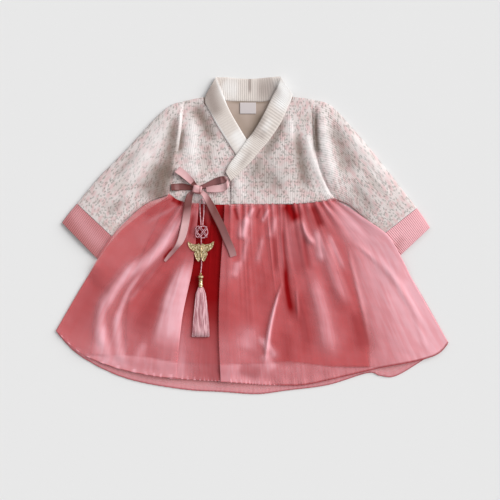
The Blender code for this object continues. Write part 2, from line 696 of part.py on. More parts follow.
def front_columns():
    """Shares across the front: four for each gather, closer through the two overlapping folds."""
    centres = overlap_shares()
    columns = []
    for number in range(4 * GATHERS + 1):
        even = number / (4 * GATHERS)
        share = even + 0.0035 * math.sin(2 * math.pi * 5.3 * even) * math.sin(math.pi * even)
        if all(abs(share - centre) > OVERLAP_HALF_SHARE * 1.15 for centre in centres):
            columns.append((share, number))
    for centre in centres:
        for step in (-1.0, -0.7, -0.5, -0.25, 0.25, 0.5, 0.7, 1.0):
            columns.append((centre + step * OVERLAP_HALF_SHARE, None))
    return sorted(columns, key=lambda column: column[0])


def front_point(share, number, down):
    """Middle of the front organza's wall."""
    x, y = run_place(FRONT_RUNS, share, down)
    left, right = overlap_shares()
    side = min(share, 1.0 - share)
    over_sleeve = 1.0 - smooth_step((down - 0.56) / 0.12)
    edge = SKIRT_EDGE_LEVEL + (SKIRT_OVER_SLEEVE - SKIRT_EDGE_LEVEL) * over_sleeve
    edge_width = 0.03 + 0.05 * down
    z = edge + (SKIRT_LEVEL - edge) * smooth_step(side / edge_width)
    if down < 0.02:
        z = max(z, SKIRT_LEVEL)
    strength = 0.62 + 0.38 * math.sin(2 * math.pi * 3.7 * share + 0.6) * math.cos(2 * math.pi * 1.3 * share)
    fade = math.exp(-down / GATHER_FADE) + 0.12 * (1.0 - down)
    if number is not None:
        z += GATHER_HEIGHT * strength * fade * 0.5 * (1.0 + math.cos(math.pi * number / 2.0))
    clear_of_folds = min(1.0, abs(share - left) / 0.07, abs(share - right) / 0.07)
    away_from_side = smooth_step(side / 0.05)
    if not left < share < right:
        near_hem = 1.0 - 0.45 * smooth_step((down - 0.75) / 0.25)
        z += ridge_height(x, y) * clear_of_folds * away_from_side * near_hem
    swing = OVERLAP_SWING_WAIST + (OVERLAP_SWING_HEM - OVERLAP_SWING_WAIST) * smooth_step(down * 1.3)
    for centre, facing in ((left, 1.0), (right, -1.0)):
        step = (share - centre) / OVERLAP_HALF_SHARE
        if abs(step) < 1.0:
            x -= swing * math.sin(math.pi * step)
            z += OVERLAP_LIFT * 0.5 * (1.0 - facing * math.sin(math.pi * step / 2.0))
        elif step * facing < 0.0:
            z += OVERLAP_LIFT * math.exp(-((abs(step) - 1.0) * OVERLAP_HALF_SHARE / 0.05) ** 2)
    return (x, y, z)


def thickened(middle, wall):
    """Upper and lower grids half a wall to each side of a middle surface."""
    across = np.gradient(middle, axis=1)
    down = np.gradient(middle, axis=0)
    normal = np.cross(down, across)
    normal /= np.linalg.norm(normal, axis=2, keepdims=True)
    return middle + normal * wall / 2.0, middle - normal * wall / 2.0


def build_skirt():
    organza = finish("organza", ORGANZA, 0.35)
    rows = (0.0, 0.04, 0.1, 0.19, 0.3, 0.43, 0.57, 0.72, 0.87, 1.0)
    columns = np.linspace(0.0, 1.0, 37)
    places_down = (0.0, 0.25, 0.5, 0.75, 1.0)
    for_back = [[run_place(BACK_RUNS, share, down) for share in columns] for down in places_down]
    top = [[(x, y, ORGANZA_WALL) for x, y in row] for row in for_back]
    bottom = [[(x, y, 0.0) for x, y in row] for row in for_back]
    shell("skirt_back", top, bottom, organza)
    build_lining()
    middle = np.array([[front_point(share, number, down) for share, number in front_columns()] for down in rows])
    upper, lower = thickened(middle, ORGANZA_WALL)
    shell("skirt_front", upper, lower, finish("organza_front", ORGANZA, 0.35))


def build_lining():
    coral = finish("lining_cloth", LINING_CORAL, 0.6)
    count = 15
    outside, inside = [], []
    for down in (0.0, 0.25, 0.5, 0.75, 1.0):
        line = [run_place(LINING_RUNS, number / (count - 1), down) for number in range(count)]
        ring = [(x, y, LINING_TOP) for x, y in line]
        ring += [(x, y, LINING_LEVEL) for x, y in reversed(line)]
        inner = [run_place(LINING_RUNS, 0.008 + 0.984 * number / (count - 1), down) for number in range(count)]
        hole = [(x, y, LINING_LEVEL + ORGANZA_WALL + CLEARANCE) for x, y in inner]
        hole += [(x, y, LINING_LEVEL + ORGANZA_WALL) for x, y in reversed(inner)]
        outside.append(ring)
        inside.append(hole)
    tube("skirt_lining", outside, inside, coral)


def laid_route(route, points):
    """A route read smoothly, its heights over all that lies within its width."""
    values = [through(route, i / (points - 1)) for i in range(points)]
    beneath = []
    for x, y, half, _ in values:
        beneath.append(Laid.top_near(x, y, half + 1.5))
    places = []
    for i, (x, y, half, rise) in enumerate(values):
        window = beneath[max(0, i - 1) : i + 2]
        places.append((x, y, half, max(window) + CLEARANCE + rise))
    return places


def build_ribbon(name, route, look, points=13, side=None):
    """A flat ribbon along a route that it is laid on."""
    places = laid_route(route, points)
    line = np.array([(x, y, z + RIBBON_WALL / 2) for x, y, _, z in places])
    run = np.gradient(line, axis=0)
    grid = np.zeros((points, 3, 3))
    for i in range(points):
        if side is None:
            across = np.array([-run[i][1], run[i][0], 0.0])
        else:
            across = np.array([side[0], side[1], 0.0])
        across /= np.linalg.norm(across)
        for j, share in enumerate((-1.0, 0.0, 1.0)):
            grid[i, j] = line[i] + across * places[i][2] * share
    upper, lower = thickened(grid, RIBBON_WALL)
    shell(name, upper, lower, look)


def build_tie():
    satin = finish("ribbon_satin", RIBBON_PINK, 0.4)
    build_ribbon("tie_anchor", LEFT_ANCHOR, satin, 6)
    build_ribbon("tie_loop_left", LEFT_LOOP, satin, 17, side=(0.68, 0.73))
    build_ribbon("tie_loop_right", RIGHT_LOOP, satin, 17, side=(-0.15, 1.0))
    build_ribbon("tie_tail_left", LEFT_TAIL, satin, 14)
    build_ribbon("tie_tail_right", RIGHT_TAIL, satin, 13)
    base = Laid.top_near(*KNOT_CENTRE, KNOT_HALF) + CLEARANCE
    count = 7
    top = np.zeros((count, count, 3))
    bottom = np.zeros((count, count, 3))
    for i in range(count):
        for j in range(count):
            u, v = 2.0 * i / (count - 1) - 1.0, 2.0 * j / (count - 1) - 1.0
            pinch = 1.0 - 0.14 * u * u
            x = KNOT_CENTRE[0] + KNOT_HALF * (0.92 * u + 0.16 * v)
            y = KNOT_CENTRE[1] - KNOT_HALF * (0.2 * u - 0.92 * v * pinch)
            bulge = math.sqrt(max(0.0, 1.0 - 0.8 * u * u)) * math.sqrt(max(0.0, 1.0 - 0.8 * v * v))
            top[i, j] = (x, y, base + 0.8 + (KNOT_HEIGHT - 0.8) * bulge)
            bottom[i, j] = (x, y, base)
    shell("tie_knot", top, bottom, satin)


def build_cord(name, points, look):
    """A thin silk cord along its points."""
    curve = bpy.data.curves.new(name, "CURVE")
    curve.dimensions = "3D"
    curve.bevel_depth = PENDANT_CORD / 2 * MM
    curve.bevel_resolution = 2
    curve.use_fill_caps = True
    spline = curve.splines.new("POLY")
    spline.points.add(len(points) - 1)
    for spot, point in zip(spline.points, points):
        spot.co = (*(value * MM for value in point), 1.0)
    curve.materials.append(look)
    made = bpy.data.objects.new(name, curve)
    bpy.context.scene.collection.objects.link(made)


def laid_cord(route, count, start_z, end_z):
    """A cord's points on what lies under it, brought to the heights of its two ends."""
    radius = PENDANT_CORD / 2
    places = [through(route, i / (count - 1)) for i in range(count)]
    under = [Laid.top_near(x, y, radius + 0.8) for x, y in places]
    points = []
    for i, (x, y) in enumerate(places):
        rest = max(under[max(0, i - 1) : i + 2]) + CLEARANCE + radius
        part = i / (count - 1)
        near_start = 1.0 - smooth_step(part / 0.22)
        near_end = 1.0 - smooth_step((1.0 - part) / 0.22)
        z = rest + max(0.0, start_z - rest) * near_start + max(0.0, end_z - rest) * near_end
        points.append((x, y, z))
    return points


def build_round(name, grid, look):
    """A closed ring from profiles that go all the way round."""
    turns, profile = grid.shape[:2]
    faces = []
    for turn in range(turns):
        for step in range(profile):
            after_step = (step + 1) % profile
            here, there = turn * profile, (turn + 1) % turns * profile
            faces.append((here + step, there + step, there + after_step, here + after_step))
    solid(name, grid.reshape(-1, 3), faces, look)


def build_maedeup(level, look):
    """The woven knot: one closed cord with five loops that passes over and under itself."""
    count, sides = 60, 4
    radius = PENDANT_CORD / 2
    swing = (MAEDEUP_REACH - radius) / 3.0
    lift = radius + 0.45
    grid = np.zeros((count, sides, 3))

    def place(turn):
        out = swing * (2.0 + math.cos(2.5 * turn))
        return np.array([
            MAEDEUP_CENTRE[0] + out * math.cos(turn),
            MAEDEUP_CENTRE[1] + out * math.sin(turn),
            level + lift + radius + lift * math.sin(2.5 * turn),
        ])

    for number in range(count):
        turn = 4 * math.pi * number / count
        here = place(turn)
        ahead = place(turn + 0.02) - place(turn - 0.02)
        ahead /= np.linalg.norm(ahead)
        side = np.cross(ahead, (0.0, 0.0, 1.0))
        side /= np.linalg.norm(side)
        up = np.cross(side, ahead)
        for step in range(sides):
            angle = 2 * math.pi * (step + 0.5) / sides
            grid[number, step] = here + radius * (math.cos(angle) * side + math.sin(angle) * up)
    build_round("norigae_maedeup", grid, look)
    return level + lift + radius


def build_butterfly(level, look):
    """The metal plate: its wings' outline, slightly domed."""
    half = BUTTERFLY_HALF_OUTLINE
    outline = list(half) + [(-x, y) for x, y in reversed(half[1:-1])]
    count = len(outline)
    steps = 3
    rim = []
    for number in range(count * steps):
        whole, part = divmod(number, steps)
        values = [outline[(whole + k) % count] for k in (-1, 0, 1, 2)]
        rim.append(through(values, (1 + part / steps) / 3))
    points, faces = [], []
    for share, top in ((1.0, 0.7), (0.55, 1.0)):
        for x, y in rim:
            z = level + BUTTERFLY_THICKNESS * top
            points.append((BUTTERFLY_CENTRE[0] + x * share, BUTTERFLY_CENTRE[1] + y * share, z))
    for x, y in rim:
        points.append((BUTTERFLY_CENTRE[0] + x, BUTTERFLY_CENTRE[1] + y, level))
    total = len(rim)
    for i in range(total):
        after = (i + 1) % total
        faces.append((i, after, total + after, total + i))
        faces.append((i, 2 * total + i, 2 * total + after, after))
    points.append((BUTTERFLY_CENTRE[0], BUTTERFLY_CENTRE[1], level + BUTTERFLY_THICKNESS * 1.1))
    points.append((BUTTERFLY_CENTRE[0], BUTTERFLY_CENTRE[1], level))
    for i in range(total):
        after = (i + 1) % total
        faces.append((total + i, total + after, 3 * total))
        faces.append((2 * total + after, 2 * total + i, 3 * total + 1))
    solid("norigae_butterfly", points, faces, look)


def turned_down(name, profile, x, level_z, look):
    """A piece turned about a line that lies along the pendant: profile gives y and radius down it."""
    sides = 10
    points, faces = [], []
    for y, radius in profile:
        for step in range(sides):
            angle = 2 * math.pi * (step + 0.5) / sides
            points.append((x + radius * math.cos(angle), y, level_z + radius * math.sin(angle)))
    rows = len(profile)
    faces += grid_faces(0, rows, sides, around=True)
    faces.append(tuple(range(sides)))
    faces.append(tuple((rows - 1) * sides + i for i in reversed(range(sides))))
    return solid(name, points, faces, look)


def build_tassel(x, level, look):
    """Strands that hang from a small head, flattened as they lie, and fan out to the ends."""
    head_top, head_bottom = CAP_TOP_Y - CAP_LENGTH - CLEARANCE, CAP_TOP_Y - CAP_LENGTH - 5.0
    half_head = 4.6
    depth = TASSEL_LAYERS * 1.5
    head_low = level
    corners = [
        (x + sx * half_head * wide, y, head_low + z)
        for y, wide in ((head_top, 0.8), (head_bottom, 1.0))
        for sx, z in ((-1, 0.0), (1, 0.0), (1, depth), (-1, depth))
    ]
    faces = [(0, 1, 2, 3), (7, 6, 5, 4)]
    faces += [(i, 4 + i, 4 + (i + 1) % 4, (i + 1) % 4) for i in range(4)]
    head = solid("norigae_tassel", corners, faces, look, carries=False)
    points, strand_faces = [], []
    end_y = CAP_TOP_Y - CAP_LENGTH - TASSEL_LENGTH
    for layer in range(TASSEL_LAYERS):
        for number in range(TASSEL_STRANDS_ACROSS):
            share = 2.0 * (number + 0.5 * (layer % 2) + 0.25) / TASSEL_STRANDS_ACROSS - 1.0
            z = head_low + 0.55 + layer * 1.45
            start = len(points)
            droop = 1.6 * math.sin(2.4 * number + layer)
            for y, reach, size in (
                (head_bottom + 1.5, half_head * 0.88, 0.17),
                (head_bottom - 10.0, 8.6, 0.36),
                (end_y + droop, 12.4, 0.52),
            ):
                for step in range(3):
                    angle = math.pi / 2 + 2 * math.pi * step / 3
                    points.append((x + share * reach + size * math.cos(angle), y, z + size * math.sin(angle)))
            strand_faces += [tuple(start + i for i in face) for face in ((0, 1, 2), (8, 7, 6))]
            for row in (0, 3):
                for i in range(3):
                    after = (i + 1) % 3
                    above, below = start + row, start + row + 3
                    strand_faces.append((above + i, below + i, below + after, above + after))
    strands = solid("tassel_strands", points, strand_faces, look, carries=False)
    strands.hide_render = True
    strands.display_type = "WIRE"
    union = head.modifiers.new("strands", "BOOLEAN")
    union.operation = "UNION"
    union.object = strands


def build_pendant():
    silk = finish("pendant_cord", CORD_MAUVE, 0.6)
    metal = finish("gilt_metal", GOLD, 0.35, 1.0)
    thread = finish("tassel_silk", SILK_PINK, 0.6)
    knot_level = Laid.top_near(*MAEDEUP_CENTRE, MAEDEUP_REACH) + CLEARANCE
    middle_z = build_maedeup(knot_level, silk)
    head_x, drop_x, tassel_x = PENDANT_X
    knot_top = MAEDEUP_CENTRE[1] + MAEDEUP_REACH + CLEARANCE
    # The hanging loop: up from the knot, round behind the tie, and down again
    loop = [
        (head_x - 1.2, knot_top),
        (head_x - 1.8, knot_top + 8.0),
        (head_x - LOOP_HALF_GAP, knot_top + 18.0),
        (head_x - LOOP_HALF_GAP, LOOP_TOP_Y - 4.0),
        (head_x, LOOP_TOP_Y),
        (head_x + LOOP_HALF_GAP, LOOP_TOP_Y - 4.0),
        (head_x + LOOP_HALF_GAP, knot_top + 18.0),
        (head_x + 1.8, knot_top + 8.0),
        (head_x + 1.2, knot_top),
    ]
    build_cord("norigae_loop", laid_cord(loop, 21, middle_z, middle_z), silk)
    plate_level = Laid.top_near(BUTTERFLY_CENTRE[0], BUTTERFLY_CENTRE[1], 15.0) + CLEARANCE
    beneath_tassel = [Laid.top_near(tassel_x, CAP_TOP_Y - away, 13.0) for away in (36.0, 52.0, 68.0)]
    tassel_level = max(beneath_tassel) + CLEARANCE
    head_level = Laid.top_near(tassel_x, CAP_TOP_Y - 4.0, 7.0) + CLEARANCE
    knot_bottom = MAEDEUP_CENTRE[1] - MAEDEUP_REACH * 0.92 - CLEARANCE
    bead_top = BEAD_Y + BEAD_RADIUS + CLEARANCE
    drop = [
        (drop_x, knot_bottom),
        (drop_x, knot_bottom - 14.0),
        (drop_x - 0.4, (knot_bottom + bead_top) / 2),
        (drop_x + 0.4, bead_top + 12.0),
        (drop_x - 0.6, bead_top),
    ]
    line_z = max(tassel_level, head_level)
    centre_z = line_z + RING_RADIUS
    drop_line = laid_cord(drop, 14, middle_z, centre_z)
    build_cord("norigae_drop", drop_line, silk)
    behind = [z for _, y, z in drop_line if abs(y - BUTTERFLY_CENTRE[1]) < 12.0]
    build_butterfly(max(plate_level, max(behind) + PENDANT_CORD / 2 + CLEARANCE), metal)
    bead = [(BEAD_Y + BEAD_RADIUS * math.sin(a), BEAD_RADIUS * math.cos(a)) for a in (1.3, 0.8, 0.0, -0.8, -1.3)]
    turned_down("norigae_bead", bead, tassel_x, centre_z, metal)
    ring = [
        (RING_Y + RING_HALF_HEIGHT * math.sin(a), 1.4 + (RING_RADIUS - 1.4) * math.cos(a))
        for a in (1.4, 0.8, 0.0, -0.8, -1.4)
    ]
    turned_down("norigae_ring", ring, tassel_x, centre_z, metal)
    cap = [
        (CAP_TOP_Y, 1.6), (CAP_TOP_Y - 0.8, CAP_RADIUS - 0.4),
        (CAP_TOP_Y - 3.0, CAP_RADIUS), (CAP_TOP_Y - CAP_LENGTH, CAP_RADIUS),
    ]
    turned_down("norigae_cap", cap, tassel_x, centre_z + 0.9, metal)
    build_tassel(tassel_x, line_z, thread)


clear_scene()
build_bodice()
build_sleeves()
build_collar()
build_skirt()
build_tie()
build_pendant()
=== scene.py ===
"""Looks of a baby's korean hanbok dress that lies flat on a pale floor, seen from straight above.

The cloth is made as thin shells on the forms of the solids in the frame, with finer ribs, gathers
and creases. Lengths in the tables are millimetres, the frame's are metres.
"""

import math
import random
from collections import namedtuple
from functools import partial

import bmesh
import bpy
import numpy as np
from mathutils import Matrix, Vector
from mathutils.bvhtree import BVHTree


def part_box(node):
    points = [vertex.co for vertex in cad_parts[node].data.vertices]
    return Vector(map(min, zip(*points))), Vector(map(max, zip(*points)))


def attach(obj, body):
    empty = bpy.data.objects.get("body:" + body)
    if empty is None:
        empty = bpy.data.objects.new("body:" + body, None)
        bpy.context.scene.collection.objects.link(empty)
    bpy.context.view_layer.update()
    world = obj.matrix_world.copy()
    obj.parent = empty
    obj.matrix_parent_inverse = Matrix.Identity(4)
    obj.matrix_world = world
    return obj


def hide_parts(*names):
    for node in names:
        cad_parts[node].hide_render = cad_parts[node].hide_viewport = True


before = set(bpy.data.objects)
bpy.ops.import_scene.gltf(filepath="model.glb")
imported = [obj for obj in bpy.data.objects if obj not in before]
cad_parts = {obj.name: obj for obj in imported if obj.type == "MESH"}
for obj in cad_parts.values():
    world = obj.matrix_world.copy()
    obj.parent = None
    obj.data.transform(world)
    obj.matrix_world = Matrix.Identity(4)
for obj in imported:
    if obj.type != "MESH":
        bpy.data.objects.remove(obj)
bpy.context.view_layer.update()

bl_info = {
    "name": "Laid hanbok dress",
    "version": (1, 0, 0),
    "blender": (4, 5, 0),
    "location": "View3D > Sidebar > Hanbok",
    "description": "Builds the cloth, tie and pendant of a baby's hanbok dress",
    "category": "Object",
}

MM = 0.001
BODY = "root"

# Levels of the layers and thicknesses of the cloth, as in the solids
CLEARANCE = 0.3
CLOTH_WALL = 1.2
ORGANZA_WALL = 1.0
RIB_RISE = 0.4
UNDER_FRONT_LEVEL = CLOTH_WALL + CLEARANCE
OVER_FRONT_LEVEL = UNDER_FRONT_LEVEL + CLOTH_WALL + RIB_RISE + 2 * CLEARANCE
FRONT_CROWN = 1.6
LINING_LEVEL = ORGANZA_WALL + CLEARANCE
LINING_TOP = LINING_LEVEL + 2 * ORGANZA_WALL + CLEARANCE
SKIRT_LEVEL = LINING_TOP + CLEARANCE + ORGANZA_WALL / 2 + 0.15
SKIRT_EDGE_LEVEL = 1.9
SKIRT_OVER_SLEEVE = 7.6
GATHERS = 24
OVERLAP_LIFT = 3.6
OVERLAP_HALF_SHARE = 0.018
OVERLAP_SWING_WAIST = 3.2
OVERLAP_SWING_HEM = 9.5
SLEEVE_EDGE_TOP = 1.7
CUFF_TOP = 5.2
# How far the bodice's top goes in under the collar, and the skirt's under the bodice
TUCK = 4.5
WAIST_TUCK = 2.6

# How a table's row is read: a column runs up a bodice panel, a section lies across a sleeve or cuff,
# a run goes down the skirt, a lay is a place on a ribbon's route, a pair lies across the collar band
Column = namedtuple("Column", "waist_x waist_y top_x top_y flare", defaults=(1,))
Section = namedtuple("Section", "upper_x upper_y lower_x lower_y height")
Run = namedtuple("Run", "waist_x waist_y high_x high_y low_x low_y hem_x hem_y")
# A soft fold along a curve through three places, with half widths and a height: a trough's is below 0.
# Then how strong its painted highlight and its painted shade are
Fold = namedtuple("Fold", "x0 y0 x1 y1 x2 y2 start_width end_width height shine deep", defaults=(0, 0, 0))
Lay = namedtuple("Lay", "x y half_width rise roll", defaults=(0, 0))
Pair = namedtuple("Pair", "inner_x inner_y outer_x outer_y")


def table(kind, *values):
    """A table whose rows are all of one kind."""
    return tuple(kind(*row) for row in values)


# Bodice panels: where each line of ribs runs, from the waist to the armhole, shoulder or collar
BACK_COLUMNS = table(
    Column,
    (-116.3, 56.4, -96.3, 187.2, 1.4),
    (-100, 46, -84, 190, 1.2),
    (-84, 43.5, -66.5, 193.2),
    (-66, 42, -52, 187.8),
    (-38, 41, -36.4, 186.6),
    (0, 42, 0, 186.2),
    (38, 43, 30, 186.6),
    (66, 43.4, 56, 194),
    (92, 46.2, 73, 191.6, 1.6),
    (116, 50.4, 86.2, 189.4, 3.2),
)
UNDER_FRONT_COLUMNS = table(
    Column,
    (-116.3, 56.4, -96.3, 187.2, 1.4),
    (-104, 48, -86, 189.8, 1.3),
    (-90, 44.2, -68.5, 193, 1.2),
    (-84, 43.5, -66.9, 184, 1.1),
    (-68, 42, -53.2, 158.6),
    (-50, 40.7, -39.3, 136),
    (-32, 40.5, -26.5, 116),
    (-12, 41, -9.5, 89.5),
    (14, 41.4, 14, 62),
)
OVER_FRONT_COLUMNS = table(
    Column,
    (-29.4, 43.4, -29.4, 73),
    (-14, 43.2, -14, 91),
    (4.6, 43, 4.6, 106.2),
    (15.8, 43, 15.4, 121.2),
    (33, 43.2, 32.2, 141),
    (50, 43.2, 48.2, 169.6),
    (60, 43.3, 57.6, 193),
    (90, 46, 72, 191.6, 1.7),
    (116, 50.4, 86.2, 189.4, 3.2),
)
# Soft folds of the bodice, with painted highlights and painted shade
UNDER_FRONT_FOLDS = table(
    Fold,
    (-84, 186, -67, 160, -54, 124, 6.5, 8, -1.2, 0, 0.8),
    (-86, 168, -84, 131.6, -88, 96, 6, 8, 1.5, 0.75),
    (-98, 152, -99.5, 131.6, -103.5, 110, 3.4, 4, -1.3, 0, 0.86),
    (-66, 130, -63, 112, -60, 92, 5, 6, -0.6, 0, 0.32),
    (-92, 104, -84, 92, -72, 84, 8, 8, 1, 0.6),
    (-96, 60, -80, 54, -60, 50, 5, 6, 0, 0.5),
)
OVER_FRONT_FOLDS = table(
    Fold,
    (46, 170, 32, 138, 12, 102, 4.6, 6.5, -1.5, 0, 0.68),
    (51, 168, 54, 148, 55, 128, 4, 4.6, 1, 0.65),
    (61, 148, 68, 104, 77, 56, 4.4, 8.6, -2, 0, 0.74),
    (76, 150, 85, 108, 103, 68, 4, 6, 1.7, 0.8),
    (10, 86, 26, 74, 44, 62, 7, 8, -0.8, 0, 0.36),
    (14, 112, 4, 94, -4, 76, 5, 6, -0.9, 0, 0.34),
    (-22, 84, -18.2, 66, -14, 48, 6, 7, 0.9, 0.45),
    (-10, 98, 24, 86, 62, 74, 20, 24, 0, 0, 0.3),
    (98, 84, 104, 66, 108, 50, 6, 7, 1.2, 0.75),
    (30, 110, 38, 88, 48, 70, 7, 7.5, 0.8, 0.35),
    (-8, 50, 40, 46, 86, 50, 3.2, 3.6, 0, 0.3),
    (86.2, 186, 86.8, 146, 89.6, 108, 1.9, 2.4, -1.5, 0, 0.8),
)

# Sleeves and cuffs: the flattened tube's two edges, from the armhole to the wrist
LEFT_SLEEVE = table(
    Section,
    (-96.3, 187.2, -116.3, 56.4, 6.8),
    (-112, 183, -127, 52.6, 7.8),
    (-131, 168.3, -141.4, 47.6, 7.6),
    (-157.8, 139.6, -155.4, 38.6, 7.4),
    (-182.8, 112.8, -169.6, 27.4, 7.2),
    (-211.4, 84.3, -182.6, 15.8, 7),
    (-229.6, 63, -190, 6.4, 6.6),
    (-245.3, 44.1, -195.6, -2.5, 5.6),
)
RIGHT_SLEEVE = table(
    Section,
    (86.2, 189.4, 116, 50.4, 7),
    (104.6, 185.2, 125.4, 46.8, 8),
    (119.6, 173.6, 133, 43.4, 7.8),
    (137.2, 154.3, 141, 38.4, 7.6),
    (165.6, 121.2, 152.2, 28.2, 7.4),
    (195.2, 83.9, 163.8, 15.2, 7.2),
    (213.6, 60.2, 171.4, 6.2, 6.8),
    (230.9, 38.1, 179.1, -2.5, 5.8),
)
LEFT_CUFF = table(
    Section,
    (-245.6, 43.8, -195.9, -2.8, CUFF_TOP),
    (-256.4, 31, -206.4, -18.6, CUFF_TOP),
    (-266.5, 17.4, -216.8, -33.4, CUFF_TOP - 0.6),
)
RIGHT_CUFF = table(
    Section,
    (231.2, 37.8, 179.4, -2.8, CUFF_TOP),
    (240.8, 24.4, 192.2, -17, CUFF_TOP),
    (249.6, 10.6, 205.4, -31, CUFF_TOP - 0.6),
)
# Pleats of a sleeve's puffed head, in shares of its width and length
HeadPleat = namedtuple("HeadPleat", "across half_width reach height")
HEAD_PLEATS = table(
    HeadPleat,
    (0.14, 0.05, 0.16, 1.4),
    (0.3, 0.06, 0.24, 1.6),
    (0.47, 0.06, 0.2, 1.3),
    (0.66, 0.07, 0.16, 1),
)
# Soft folds of the sleeves, with painted highlights and painted shade
LEFT_SLEEVE_FOLDS = table(
    Fold,
    (-109, 172, -113, 124, -127, 60, 5.5, 10, -2, 0, 0.82),
    (-116, 108, -126, 72, -136, 40, 9, 13, -0.6, 0, 0.85),
    (-116, 170, -142, 122, -190, 60, 9, 11, 1.5, 0.57),
    (-124, 104, -136, 78, -164, 56, 9, 11, -1.3, 0, 0.57),
    (-150, 88, -170, 66, -186, 46, 6, 7, 0.9),
    (-178, 50, -192, 38, -206, 30, 5, 6, -0.9, 0, 0.38),
    (-98.6, 184, -101, 150, -104, 118, 1.5, 2.4, 0.9, 0.95),
    (-160, 120, -176, 100, -196, 78, 4, 5, -0.8, 0, 0.34),
)
RIGHT_SLEEVE_FOLDS = table(
    Fold,
    (89, 182, 89.6, 141.4, 93, 106, 2.2, 3, -2.2, 0, 0.97),
    (97, 178, 103.6, 123.2, 117, 62, 5, 8, 1.8, 0.76),
    (107.8, 162, 124.6, 122, 142, 80, 7, 10, -1.6, 0, 0.57),
    (130, 150, 160, 112, 196, 66, 6, 8, 1.2, 0.38),
    (138, 76, 154, 52, 174, 26, 6, 7, -1.2, 0, 0.4),
    (160, 96, 178, 72, 196, 50, 4, 5, 0.9),
)

# Collar band, from the shoulder fold to its end: inner edge at the neck, outer edge at the seam
UNDER_BAND = table(
    Pair,
    (-50, 221.9, -65, 195.8),
    (-43.4, 205.8, -66.1, 186),
    (-38.1, 190.4, -60.2, 174.3),
    (-30.5, 173, -52.4, 159.5),
    (-16.7, 149, -38.5, 136.8),
    (1.6, 119.8, -19.4, 107.6),
)
OVER_BAND = table(
    Pair,
    (38.9, 222.3, 56.7, 196.7),
    (36.1, 208.6, 54.6, 187.6),
    (28.3, 193.8, 49.7, 177.8),
    (17.5, 171.2, 39.9, 156.1),
    (2.7, 145.7, 23.1, 131.6),
    (-8.1, 131.9, 11.9, 118.3),
    (-21.7, 113, -2.8, 100.8),
    (-32.4, 98.4, -16.8, 87.6),
    (-37, 88.2, -29.6, 75.4),
)
BACK_BAND = table(
    Pair,
    (-49.6, 221.2, -62, 194.6),
    (-36.4, 221.4, -38, 188.9),
    (-19.6, 219.8, -19.6, 187.6),
    (0, 219.2, 0, 187.2),
    (17, 220.6, 19, 187.6),
    (37.8, 222.6, 51, 194.2),
)

# Painted shade and painted highlights of the collar, the cuffs and the back's inside, with no heights
COLLAR_PAINTED_LIGHT = table(
    Fold,
    (-62, 224, -57, 190, -44, 160, 12, 8, 0, 0, 0.74),
    (-3, 224, -3.2, 211, -3, 196, 1.8, 1.6, 0, 0, 0.75),
    (-50, 221.9, -38.6, 190.4, 1, 120.5, 1, 1.2, 0, 0.9),
    (-65.6, 186, -51.6, 159.5, -19, 107.6, 1, 1.2, 0, 0.8),
    (-28, 147, -18, 134, -9, 117, 8, 9, 0, 0.7),
    (2, 204, 22, 206, 37, 214, 13, 16, 0, 0, 0.62),
    (-44, 214, -32, 206, -14, 204, 12, 12, 0, 0.5),
    (44, 226, 45, 196, 32, 170, 14, 8, 0, 0.95),
    (28, 166, 20, 152, 14, 142, 4, 4.5, 0, 0.4),
    (24, 176, 8, 150, -2, 136, 3, 5, 0, 0, 0.5),
    (20, 150, 14, 140, 10, 134, 4, 5, 0, 0, 0.4),
    (-12, 120, -22, 105, -33, 88, 5, 5, 0, 0.5),
    (0, 119, -8, 108, -20, 92, 2.6, 3, 0, 0, 0.3),
)
CUFF_PAINTED_LIGHT = table(
    Fold,
    (160, -20, 214, 4, 262, 34, 34, 34, 0, 0.8),
    (-252, 46, -234, 10, -200, -26, 7, 8, 0, 0.3),
    (-276, 30, -246, -8, -206, -42, 12, 13, 0, 0, 0.4),
    (214, 0, 206, -12, 200, -24, 4, 5, 0, 0, 0.3),
)
BACK_PAINTED_LIGHT = table(
    Fold,
    (-40, 187.6, 0, 186.4, 26, 188, 1.3, 1.5, 0, 0, 0.75),
    (14, 176, 8, 154, -2, 132, 8, 9, 0, 0, 0.55),
    (-26, 176, -16, 156, -4, 134, 5, 6, 0, 0, 0.3),
)

# Lines down the skirt's layers, from the waist seam to the hem
FRONT_RUNS = table(
    Run,
    (-116.3, 55.4, -185.5, 9.5, -231, -59, -274.6, -134),
    (-106.4, 47.8, -157.6, -6.2, -208.6, -85.4, -242.2, -163.8),
    (-95.3, 43.8, -131.6, -18.2, -173.6, -102.2, -196, -184.1),
    (-86.8, 42.6, -107.8, -26.6, -138.6, -113.4, -147, -195.4),
    (-75.4, 41.4, -84, -38.5, -101.4, -116.2, -110, -200.3),
    (-58.8, 40.4, -64.4, -38, -74.2, -119, -77, -202.8),
    (-37, 40, -39.6, -36.4, -40.2, -119, -37.4, -205.1),
    (-9.8, 41.2, -8.4, -37.8, -2.8, -121.8, 5.6, -208.9),
    (14, 41.8, 22.4, -37.8, 33.6, -119, 43.4, -210.4),
    (40.6, 42.2, 46.2, -37.8, 63, -116.2, 75.6, -209.4),
    (67.2, 42.4, 86.8, -32.2, 110.6, -112, 124.6, -198.8),
    (89.6, 44.4, 120.4, -21, 154, -102.2, 182, -185.4),
    (105, 47, 154, -7, 193.2, -88.2, 235.2, -175.2),
    (110.6, 48.6, 168, 2.8, 210, -77, 262, -165.6),
    (116.2, 49.4, 181, 12.6, 225.4, -63, 275.4, -151),
)
LEFT_OVERLAP_RUN = 4
RIGHT_OVERLAP_RUN = 6
